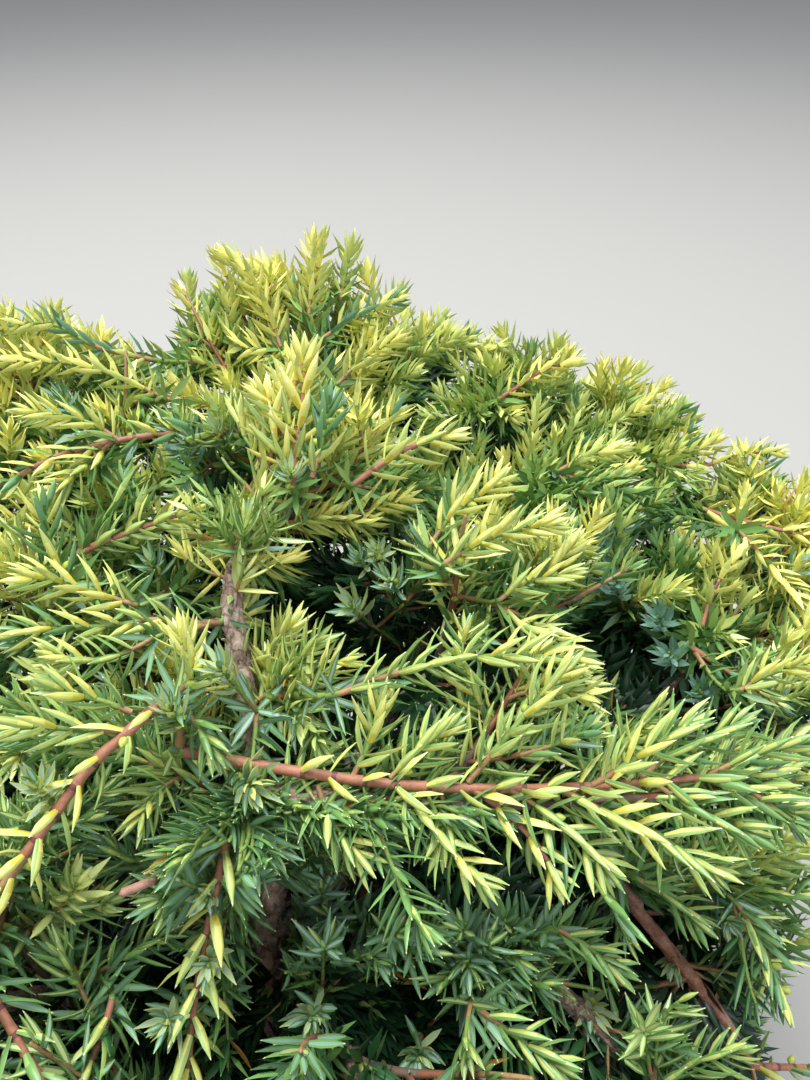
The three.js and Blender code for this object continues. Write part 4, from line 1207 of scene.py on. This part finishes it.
def close_views():
    """Sprays at the far side of the crown wherever the picture would show through it."""
    cell = 9
    rows, cols = 1080 // cell, 810 // cell
    cover = np.zeros((rows + 2, cols + 2))
    for parts in store.values():
        for L in range(3):
            for a in parts[L]:
                for f in (0.25, 0.5, 0.75):
                    u, v, _ = seen(a[:, 0:3] + a[:, 3:6] * (a[:, 12] * f)[:, None])
                    i, j = np.floor(v / cell).astype(int) + 1, np.floor(u / cell).astype(int) + 1
                    ok = (i >= 0) & (i < rows + 2) & (j >= 0) & (j < cols + 2)
                    np.add.at(cover, (i[ok], j[ok]), 1)
    first = len(paths)
    reach = np.arange(140.0, 420.0, 5.0)
    for i, j in np.argwhere(cover[1:-1, 1:-1] < 7):
        u_, v_ = (j + 0.5) * cell, (i + 0.5) * cell
        if v_ < 240 or (u_ > 745 and v_ > 950) or (abs(u_ - 268) < 16 and v_ > 860) or (270 < u_ < 425 and 780 < v_ < 910):
            continue
        inner_depth = field(depth_in, np.array([at(u_, v_, d_) for d_ in reach]))
        within = np.flatnonzero(inner_depth > 2.5)
        if inner_depth.max() < 5 or len(within) < 3:
            continue
        far = min(reach[within[-1]] - 6, reach[within[0]] + 60)
        if u_ > 600 and v_ > 850:
            far = max(far, 219.0)
        target = at(u_ + rng.uniform(-2, 2), v_ + rng.uniform(-2, 2), far)
        light = float(field(shade, target))
        # Where little light reaches, the closing sprays get tone 0, the darkest green: painted shade.
        grow(target, 4, unit(target - middle) * 0.5 + np.array([0, 0, 0.35]) + rng.normal(0, 0.3, 3), (0.7, 0.38),
             int(mass_at(target)), "fill", (1, 2, 3), 12, 50, tries=1, check=False, tone=0.0 if light < 0.35 else 0.3, inode=2.6)
    for path in paths[first:]:
        path["jitter"], path["sea"] = 0.0, False
        leafy(path)
    print("closed", len(paths) - first)


close_views()
close_views()
close_views()


def mesh_of(name, verts, faces, mats, materials, smooth=True):
    """faces and mats are lists of arrays, one for each face size."""
    me = bpy.data.meshes.new(name)
    me.vertices.add(len(verts))
    me.vertices.foreach_set("co", (np.asarray(verts) / 1000).astype(np.float32).ravel())
    loops = np.concatenate([f.ravel() for f in faces]).astype(np.int32)
    sizes = np.concatenate([np.full(len(f), f.shape[1]) for f in faces]) if faces else np.zeros(0)
    me.loops.add(len(loops))
    me.loops.foreach_set("vertex_index", loops)
    me.polygons.add(len(sizes))
    me.polygons.foreach_set("loop_start", np.r_[0, np.cumsum(sizes)[:-1]].astype(np.int32))
    me.polygons.foreach_set("material_index", np.concatenate(mats).astype(np.int32))
    me.polygons.foreach_set("use_smooth", np.full(len(sizes), smooth))
    for m in materials:
        me.materials.append(m)
    me.update(calc_edges=True)
    ob = bpy.data.objects.new(name, me)
    bpy.context.scene.collection.objects.link(ob)
    return ob


triangles = 0
needle_total = [0, 0, 0]
for mi, name in enumerate(MASS_NAMES):
    verts, quads, tris, qm, tm = [], [], [], [], []
    count = 0
    for L, (rows, tq, tt, rq, rt) in enumerate(LEVELS):
        if not store[mi][L]:
            continue
        a = np.concatenate(store[mi][L])
        needle_total[L] += len(a)
        base, d, lat, nad = a[:, 0:3], a[:, 3:6], a[:, 6:9], a[:, 9:12]
        ln, wd, bend, kinds = a[:, 12], a[:, 13], a[:, 14], a[:, 15].astype(int)
        p = (base[:, None] + d[:, None] * (ln[:, None] * rows[:, 0])[..., None]
             + lat[:, None] * (wd[:, None] * rows[:, 1])[..., None]
             + nad[:, None] * (wd[:, None] * rows[:, 2] + (ln * bend)[:, None] * rows[:, 3])[..., None])
        n, v = p.shape[:2]
        off = count + np.arange(n)[:, None, None] * v
        verts.append(p.reshape(-1, 3))
        quads.append((tq[None] + off).reshape(-1, 4))
        tris.append((tt[None] + off).reshape(-1, 3))
        qm.append(KINDS[kinds][:, rq].ravel())
        tm.append(KINDS[kinds][:, rt].ravel())
        count += n * v
    if not verts:
        continue
    ob = mesh_of("needles_" + name[5:], np.concatenate(verts), [np.concatenate(quads), np.concatenate(tris)],
                 [np.concatenate(qm), np.concatenate(tm)], NEEDLES)
    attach(ob, "root")
    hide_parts(name)
    k = 2 * sum(len(q) for q in quads) + sum(len(t) for t in tris)
    triangles += k
    print(ob.name, k)
print("needles", needle_total, "triangles", triangles)

# ---------------------------------------------------------------- twigs
twig_parts = {mi: dict(v=[], q=[], t=[], qm=[], tm=[], n=0) for mi in range(len(MASS_NAMES))}


def tube(part, p, r, sides, mats, cap=True):
    t, u, w = frames(p)
    a = np.linspace(0, 2 * math.pi, sides, endpoint=False)
    ring = np.cos(a)[None, :, None] * u[:, None] + np.sin(a)[None, :, None] * w[:, None]
    v = p[:, None] + ring * np.asarray(r)[:, None, None]
    n = len(p)
    i = np.arange(n - 1)[:, None] * sides
    j = np.arange(sides)[None]
    k = (j + 1) % sides
    q = np.stack([i + j, i + k, i + sides + k, i + sides + j], -1).reshape(-1, 4) + part["n"]
    part["v"].append(v.reshape(-1, 3))
    part["q"].append(q)
    part["qm"].append(np.repeat(mats, sides))
    extra = 0
    if cap:
        part["v"].append((p[-1] + t[-1] * r[-1])[None])
        tip = part["n"] + n * sides
        b = part["n"] + (n - 1) * sides
        j = np.arange(sides)
        part["t"].append(np.stack([b + j, b + (j + 1) % sides, np.full(sides, tip)], 1))
        part["tm"].append(np.full(sides, mats[-1]))
        extra = 1
    part["n"] += n * sides + extra


TWIG_MATERIALS = TWIGS + [BARK_GREY]
# A broken side stub, a brown snag low on the right, both without needles.
for pts, radii in (([(154, 880, 158), (146, 884, 153), (123, 893, 150)], (0.95, 0.9)), ([(612, 872, 200), (625, 890, 199), (640, 905, 198)], (1.6, 1.2))):
    line = smooth_curve([at(*q) for q in pts], 12)
    stem, i = hidden_stem(line[0], tangents(line)[0])
    for p, bark, r in ((stem, "green", np.linspace(0.6, radii[0] * 0.8, len(stem))), (line, "stub", np.linspace(*radii, len(line)))):
        paths.append(dict(p=p, r=r, order=3, mass=int(mass_at(line[5])), kind="shoot", needled=(2, 2), inode=5, parent=-1,
                          tone=0.5, hero=True, bark=bark, long=1.0, nodes=np.zeros(0)))
for path in paths:
    p, r, order = path["p"], path["r"], path["order"]
    if path.get("barked"):
        continue
    length = np.linalg.norm(np.diff(p, axis=0), axis=1).sum()
    lod = detail_of(p[[len(p) // 2]])[0]
    step, sides = ((3.0, 5), (4.5, 4), (8.0, 3))[lod]
    if path["hero"]:
        step, sides = (1.1, 9) if path["bark"] == "pink" and seen(p[0])[2] < 235 else (2.6, 5)
    n = max(3, int(length / step) + 1)
    q = resample(p, n)
    rr = np.interp(np.linspace(0, 1, n), np.linspace(0, 1, len(r)), r)
    f = np.linspace(0, 1, n - 1)
    if path["hero"]:
        s = np.linspace(0, length, n)
        nodes = path.get("nodes", np.zeros(0))
        gap = np.min(np.abs(s[:, None] - nodes), axis=1) if len(nodes) else np.full(n, 9.0)
        rr = rr * (1 + 0.16 * np.exp(-(gap / 0.8) ** 2)) * (1 + rng.normal(0, 0.02, n))
        ring = gap[:-1] < 0.5
        if path["bark"] == "pink":
            mats = np.where(f < 0.86, np.where(ring & (rr[:-1] > 0.6), T_NODE, T_PINK), T_TAN)
        elif path["bark"] == "tan":
            mats = np.where(f < 0.4, T_TAN, T_GREEN)
        elif path["bark"] == "stub":
            mats = np.full(n - 1, T_STUB)
        else:
            mats = np.where(f < 0.2, T_TAN, T_GREEN)
        t, u, w = frames(q)
        for k in np.searchsorted(s, nodes[nodes < length - 5]) if seen(p[0])[2] < 235 else ():
            if rng.random() < 0.16 and k < n:
                a = rng.uniform(0, 2 * math.pi)
                out = math.cos(a) * u[k] + math.sin(a) * w[k]
                way = unit(0.75 * t[k] + out)
                at_bud = q[k] + out * rr[k] * 0.8 + way * np.array([[0], [0.5], [1.2], [2.0], [2.5]])
                tube(twig_parts[path["mass"]], at_bud, [0.35, 0.85, 1.0, 0.65, 0.15], 7, np.full(4, T_BUD))
    elif path["kind"] == "stem":
        mats = np.where(f < 0.5, T_TAN, T_GREEN)
    elif path["kind"] == "limb":
        mats = np.full(n - 1, len(TWIGS))
    elif order == 2:
        mats = np.where(f < 0.45, T_GREY, np.where(f < 0.8, T_RED, T_TAN))
    elif order == 3:
        mats = np.where(f < 0.4, T_RED, np.where(f < 0.75, T_TAN, T_GREEN))
    else:
        mats = np.where(f < 0.35, T_TAN, T_GREEN)
    tube(twig_parts[path["mass"]], q, rr, sides, mats)

for mi, name in enumerate(MASS_NAMES):
    part = twig_parts[mi]
    if not part["v"]:
        continue
    ob = mesh_of("twigs_" + name[5:], np.concatenate(part["v"]), [np.concatenate(part["q"]), np.concatenate(part["t"])],
                 [np.concatenate(part["qm"]), np.concatenate(part["tm"])], TWIG_MATERIALS)
    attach(ob, "root")
    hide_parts(name)
    triangles += 2 * sum(map(len, part["q"])) + sum(map(len, part["t"]))
print("with twigs", triangles)

# ---------------------------------------------------------------- trunk and boughs, with the bark's relief
def bark_limb(name, p, r, sides, material, relief=0.14, flare=None, seed=0.0, cap=True):
    t, u, w = frames(p)
    n = len(p)
    a = np.linspace(0, 2 * math.pi, sides, endpoint=False)
    s = np.r_[0, np.cumsum(np.linalg.norm(np.diff(p, axis=0), axis=1))]
    v = np.empty((n, sides, 3))
    for i in range(n):
        for j in range(sides):
            c, d = math.cos(a[j]), math.sin(a[j])
            at_ = Vector((c * 1.35, d * 1.35, s[i] * 0.13 + seed))
            dist = noise.voronoi(at_ * 1.55)[0]
            crack = min(1.0, (dist[1] - dist[0]) * 3.2)
            plate = noise.cell(noise.voronoi(at_ * 1.55)[1][0] * 7.3)
            fib = noise.noise(Vector((c * 5.5, d * 5.5, s[i] * 0.3 + seed * 2)))
            fine = noise.noise(Vector((c * 11, d * 11, s[i] * 1.1 + seed)))
            h = relief * ((crack - 0.6) * 0.9 + 0.55 * (plate - 0.5) * crack + 0.35 * fib + 0.22 * fine)
            rad = r[i] * (1 + h)
            if flare is not None:
                rad += flare(s[i], a[j])
            v[i, j] = p[i] + (u[i] * c + w[i] * d) * rad
    i = np.arange(n - 1)[:, None] * sides
    j = np.arange(sides)[None]
    k = (j + 1) % sides
    q = np.stack([i + j, i + k, i + sides + k, i + sides + j], -1).reshape(-1, 4)
    verts = [v.reshape(-1, 3), p[:1] - t[:1] * 0.0, p[-1:] + t[-1:] * r[-1] * 0.5]
    j = np.arange(sides)
    bottom = np.stack([(j + 1) % sides, j, np.full(sides, n * sides)], 1)
    top = np.stack([(n - 1) * sides + j, (n - 1) * sides + (j + 1) % sides, np.full(sides, n * sides + 1)], 1)
    ob = mesh_of(name, np.concatenate(verts), [q, np.concatenate([bottom, top])],
                 [np.zeros(len(q)), np.zeros(2 * sides)], [material])
    return ob


zs = np.linspace(TRUNK_FOOT[2] + 0.05, TRUNK_TOP[2], 90)
line = np.array([on_trunk(z) for z in zs])
tr = 6.4 + (4.3 - 6.4) * np.linspace(0, 1, len(zs))
ob = bark_limb("trunk_bark", line, tr, 56, BARK, 0.26,
               lambda s, a: 2.6 * math.exp(-s / 7) * (1 + 0.25 * math.sin(3 * a)), 3.0)
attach(ob, "root"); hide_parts("trunk")
for k, (name, (line, radius, entry)) in enumerate(bough_lines.items()):
    end = len(line)
    length = np.linalg.norm(np.diff(line, axis=0), axis=1).sum()
    n = max(10, int(length / (1.3)))
    p = resample(line, n)
    radius = np.concatenate([radius[:entry], np.linspace(radius[entry], 1.5, end - entry)])
    r = np.interp(np.linspace(0, 1, n), np.linspace(0, 1, end), radius)
    ob = bark_limb(name + "_bark", p, r, 36, BARK_GREY, 0.36, None, 11.0 * k)
    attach(ob, "root"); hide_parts(name)

n = int(np.linalg.norm(np.diff(red_line, axis=0), axis=1).sum() / (1.0))
ob = bark_limb("bough_red_bark", resample(red_line, n), np.interp(np.linspace(0, 1, n), np.linspace(0, 1, len(red_radius)), red_radius),
               26, BARK_RED, 0.18, None, 71.0)
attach(ob, "root"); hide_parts("mass_right_near")
# A pale knob where a branch came off the trunk.
out = unit(np.array([0.22, -1.0, 0.45]))
foot = on_trunk(189) + out * 4.2
line = foot + out * np.linspace(0, 5.6, 16)[:, None]
ob = bark_limb("trunk_knob", line, 2.5 - 0.9 * np.linspace(0, 1, 16) ** 2, 24, BARK_KNOB, 0.22, None, 5.0)
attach(ob, "root"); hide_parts("trunk")


# ---------------------------------------------------------------- pot and compost
def speckled(name, colours, positions, scale, rough, bump, distance, detail=7.0, specular=0.4, streak=None):
    """A noise-driven surface: colour, roughness and relief from coarse and fine grain."""
    m = bpy.data.materials.new(name)
    m.use_nodes = True
    nt = m.node_tree
    b = nt.nodes["Principled BSDF"]
    b.inputs["Specular IOR Level"].default_value = specular
    tc = nt.nodes.new("ShaderNodeTexCoord")
    source = tc.outputs["Object"]
    if streak:
        mp = nt.nodes.new("ShaderNodeMapping")
        mp.inputs["Scale"].default_value = streak
        nt.links.new(source, mp.inputs["Vector"])
        source = mp.outputs["Vector"]
    coarse = nt.nodes.new("ShaderNodeTexNoise")
    coarse.inputs["Scale"].default_value = scale
    coarse.inputs["Detail"].default_value = detail
    coarse.inputs["Roughness"].default_value = 0.66
    fine = nt.nodes.new("ShaderNodeTexNoise")
    fine.inputs["Scale"].default_value = scale * 6
    fine.inputs["Detail"].default_value = 4
    ramp = nt.nodes.new("ShaderNodeValToRGB")
    els = ramp.color_ramp.elements
    els[0].position, els[0].color = positions[0], (*linear(colours[0]), 1)
    els[1].position, els[1].color = positions[-1], (*linear(colours[-1]), 1)
    for x, c in list(zip(positions, colours))[1:-1]:
        e = els.new(x)
        e.color = (*linear(c), 1)
    rmap = nt.nodes.new("ShaderNodeMapRange")
    rmap.inputs["To Min"].default_value, rmap.inputs["To Max"].default_value = rough
    both = nt.nodes.new("ShaderNodeMath")
    both.operation = "MULTIPLY_ADD"
    both.inputs[1].default_value = 0.4
    bn = nt.nodes.new("ShaderNodeBump")
    bn.inputs["Strength"].default_value = bump
    bn.inputs["Distance"].default_value = distance
    nt.links.new(source, coarse.inputs["Vector"])
    nt.links.new(tc.outputs["Object"], fine.inputs["Vector"])
    nt.links.new(coarse.outputs["Fac"], ramp.inputs["Fac"])
    nt.links.new(ramp.outputs["Color"], b.inputs["Base Color"])
    nt.links.new(coarse.outputs["Fac"], rmap.inputs["Value"])
    nt.links.new(rmap.outputs["Result"], b.inputs["Roughness"])
    nt.links.new(fine.outputs["Fac"], both.inputs[0])
    nt.links.new(coarse.outputs["Fac"], both.inputs[2])
    nt.links.new(both.outputs[0], bn.inputs["Height"])
    nt.links.new(bn.outputs["Normal"], b.inputs["Normal"])
    return m


POT_PLASTIC = speckled("pot_plastic", [(30, 31, 33), (41, 42, 44), (52, 53, 54), (86, 84, 80)], [0.3, 0.5, 0.62, 0.8], 60,
                       (0.42, 0.62), 0.12, 0.0004, streak=(1.0, 1.0, 0.35))
COMPOST = speckled("compost_surface", [(24, 18, 14), (52, 40, 31), (84, 66, 50), (128, 104, 78)], [0.3, 0.48, 0.6, 0.75], 260,
                   (0.85, 1.0), 0.8, 0.0012, specular=0.2)
CHIP = [speckled("bark_chip_dark", [(44, 30, 24), (78, 54, 40), (112, 82, 60)], [0.3, 0.5, 0.72], 420, (0.75, 0.95), 0.5, 0.0005, specular=0.25),
        speckled("bark_chip_red", [(70, 42, 30), (112, 72, 50), (150, 108, 78)], [0.3, 0.5, 0.72], 380, (0.7, 0.92), 0.5, 0.0005, specular=0.25)]


def side(z):
    return 69 + 22 * z / 131


def rounded(points, radius=0.7, steps=4):
    """The profile with its corners made round."""
    out = [points[0]]
    for a, b, c in zip(points[:-2], points[1:-1], points[2:]):
        a, b, c = (np.asarray(x, float) for x in (a, b, c))
        la, lc = np.linalg.norm(a - b), np.linalg.norm(c - b)
        k = min(radius, la * 0.45, lc * 0.45)
        p, q = b + (a - b) / la * k, b + (c - b) / lc * k
        for t in np.linspace(0, 1, steps):
            out.append(tuple((1 - t) ** 2 * p + 2 * (1 - t) * t * b + t * t * q))
    out.append(points[-1])
    return out


def lathe(name, profile, n, material, warp=None):
    """A closed profile of (radius, height) turned round the axis; its two ends lie on the axis."""
    a = np.linspace(0, 2 * math.pi, n, endpoint=False)
    inner_ = profile[1:-1]
    verts = np.array([[(r * math.cos(x), r * math.sin(x), z) for x in a] for r, z in inner_])
    if warp is not None:
        verts = warp(verts)
    m = len(inner_)
    i = np.arange(m - 1)[:, None] * n
    j = np.arange(n)[None]
    k = (j + 1) % n
    q = np.stack([i + j, i + k, i + n + k, i + n + j], -1).reshape(-1, 4)
    j = np.arange(n)
    first = np.stack([(j + 1) % n, j, np.full(n, m * n)], 1)
    final = np.stack([(m - 1) * n + j, (m - 1) * n + (j + 1) % n, np.full(n, m * n + 1)], 1)
    ends = np.array([(0, 0, profile[0][1]), (0, 0, profile[-1][1])], float)
    return mesh_of(name, np.concatenate([verts.reshape(-1, 3), ends]), [q, np.concatenate([first, final])],
                   [np.zeros(len(q)), np.zeros(2 * n)], [material])


SHELL = [(0, 0), (67.5, 0), (side(1.5), 1.5), (side(26), 26), (side(27) - 0.45, 27), (side(28.4) - 0.45, 28.4), (side(29.4), 29.4), (side(60), 60),
         (side(112), 112), (side(113) - 0.45, 113), (side(114.4) - 0.45, 114.4), (side(115.4), 115.4), (side(129), 129), (95.4, 131), (96.4, 133),
         (97, 148), (96, 150), (93.8, 150), (92.8, 135), (side(129) - 2.6, 130), (side(60) - 2.6, 60), (side(3.4) - 2.6, 3.4), (0, 3.4)]
pot = lathe("pot_shell", rounded(SHELL), 144, POT_PLASTIC)
cut_v, cut_q, cut_t = [], [], []
for i in range(6):
    x, y = 51 * math.cos(math.radians(60 * (i + 0.5))), 51 * math.sin(math.radians(60 * (i + 0.5)))
    a = np.linspace(0, 2 * math.pi, 24, endpoint=False)
    b = len(cut_v) * 24
    cut_v.append(np.stack([x + 5 * np.cos(a), y + 5 * np.sin(a), np.full(24, -2.0)], 1))
    cut_v.append(np.stack([x + 5 * np.cos(a), y + 5 * np.sin(a), np.full(24, 6.0)], 1))
    j = np.arange(24)
    cut_q.append(np.stack([b + j, b + (j + 1) % 24, b + 24 + (j + 1) % 24, b + 24 + j], 1))
    cut_t.append(np.stack([np.full(22, b), b + j[2:], b + j[1:-1]], 1))
    cut_t.append(np.stack([np.full(22, b + 24), b + 24 + j[1:-1], b + 24 + j[2:]], 1))
cutter = mesh_of("cutter", np.concatenate(cut_v), [np.concatenate(cut_q), np.concatenate(cut_t)],
                 [np.zeros(sum(map(len, cut_q))), np.zeros(sum(map(len, cut_t)))], [POT_PLASTIC], smooth=False)
mod = pot.modifiers.new("holes", "BOOLEAN")
mod.operation, mod.object, mod.solver = "DIFFERENCE", cutter, "EXACT"
bpy.context.view_layer.update()
holed = bpy.data.meshes.new_from_object(pot.evaluated_get(bpy.context.evaluated_depsgraph_get()))
pot.modifiers.clear()
pot.data = holed
bpy.data.objects.remove(cutter)
holed.polygons.foreach_set("use_smooth", np.ones(len(holed.polygons), bool))
holed.set_sharp_from_angle(angle=math.radians(32))
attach(pot, "root"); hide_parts("pot")


def soil_height(x, y):
    r = np.hypot(x, y)
    t = np.clip((r - 30) / 60, 0, 1)
    return 135.4 - 1.5 * t * t


def crumbled(v):
    """Crumbs and hollows on the top of the compost."""
    flat_ = v.reshape(-1, 3)
    for k, (x, y, z) in enumerate(flat_):
        if z > 132:
            g = noise.fractal(Vector((x * 0.16, y * 0.16, 3.0)), 0.7, 2.1, 5)
            flat_[k, 2] = min(136.6, soil_height(x, y) + 0.9 * g + 0.5 * noise.noise(Vector((x * 0.9, y * 0.9, 8.0))))
    return flat_.reshape(v.shape)


rings = [(r, 135.0) for r in np.linspace(1.5, 87.2, 58)]
soil = lathe("compost_bed", [(0, 135.6), *rings, (side(131) - 3.3, 131), (side(70) - 3.3, 70), (side(4) - 3.3, 4.0), (0, 4.0)][::-1],
             132, COMPOST, crumbled)
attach(soil, "root"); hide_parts("compost")
cube = np.array([(x, y, z) for z in (-1, 1) for x, y in ((-1, -1), (1, -1), (1, 1), (-1, 1))], float)
cube_q = np.array([(3, 2, 1, 0), (4, 5, 6, 7), (0, 1, 5, 4), (1, 2, 6, 5), (2, 3, 7, 6), (3, 0, 4, 7)])
chip_v, chip_m = [], []
for k in range(520):
    r, a = 84 * math.sqrt(rng.random()), rng.uniform(0, 2 * math.pi)
    x, y = r * math.cos(a), r * math.sin(a)
    if math.hypot(x - TRUNK_FOOT[0], y - TRUNK_FOOT[1]) < 11:
        continue
    size_ = np.array([rng.uniform(1.6, 5.2), rng.uniform(0.9, 2.4), rng.uniform(0.35, 0.9)])
    c = cube * size_ + rng.normal(0, 0.22, (8, 3)) * size_
    c[:, 2] += rng.normal(0, 0.12) * c[:, 0]
    s, o = math.sin(a * 7 + k), math.cos(a * 7 + k)
    c = np.stack([c[:, 0] * o - c[:, 1] * s, c[:, 0] * s + c[:, 1] * o, c[:, 2]], 1)
    reach = math.hypot(x, y) + size_[0]
    if reach > 86:
        continue
    chip_v.append(c + np.array([x, y, soil_height(x, y) + 0.5]))
    chip_m.append(np.full(6, rng.random() < 0.4, int))
ob = mesh_of("bark_chips", np.concatenate(chip_v), [np.concatenate([cube_q + 8 * k for k in range(len(chip_v))])],
             [np.concatenate(chip_m)], CHIP, smooth=False)
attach(ob, "root"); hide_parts("compost")

# ---------------------------------------------------------------- floor and light
floor_me = bpy.data.meshes.new("floor")
floor_me.from_pydata([(-8, -8, 0), (8, -8, 0), (8, 8, 0), (-8, 8, 0)], [], [(0, 1, 2, 3)])
floor = bpy.data.objects.new("floor", floor_me)
bpy.context.scene.collection.objects.link(floor)
floor_me.materials.append(plain("floor", (172, 170, 167), 0.9, 0.2))

world = bpy.data.worlds.new("studio")
bpy.context.scene.world = world
world.use_nodes = True
world.node_tree.nodes["Background"].inputs[0].default_value = (0.86, 0.91, 1.0, 1)
world.node_tree.nodes["Background"].inputs[1].default_value = 0.56


def softbox(name, where, aim, size, power, colour=(1, 1, 1)):
    l = bpy.data.lights.new(name, "AREA")
    l.shape, l.size, l.energy, l.color = "DISK", size, power, colour
    o = bpy.data.objects.new(name, l)
    o.location = where
    o.rotation_euler = (Vector(aim) - Vector(where)).to_track_quat("-Z", "Y").to_euler()
    bpy.context.scene.collection.objects.link(o)


softbox("sky_light", (-0.35, 0.5, 2.5), (0, 0.02, 0.2), 1.9, 104, (0.99, 1.0, 0.97))
softbox("fill_light", (0.9, -1.1, 1.2), (0, 0, 0.2), 1.4, 7, (0.92, 0.96, 1.0))

scene = bpy.context.scene
scene.view_settings.view_transform = "Standard"
scene.view_settings.look = "None"
scene.view_settings.exposure = 0.0
scene.view_settings.gamma = 1.0

bpy.context.view_layer.update()
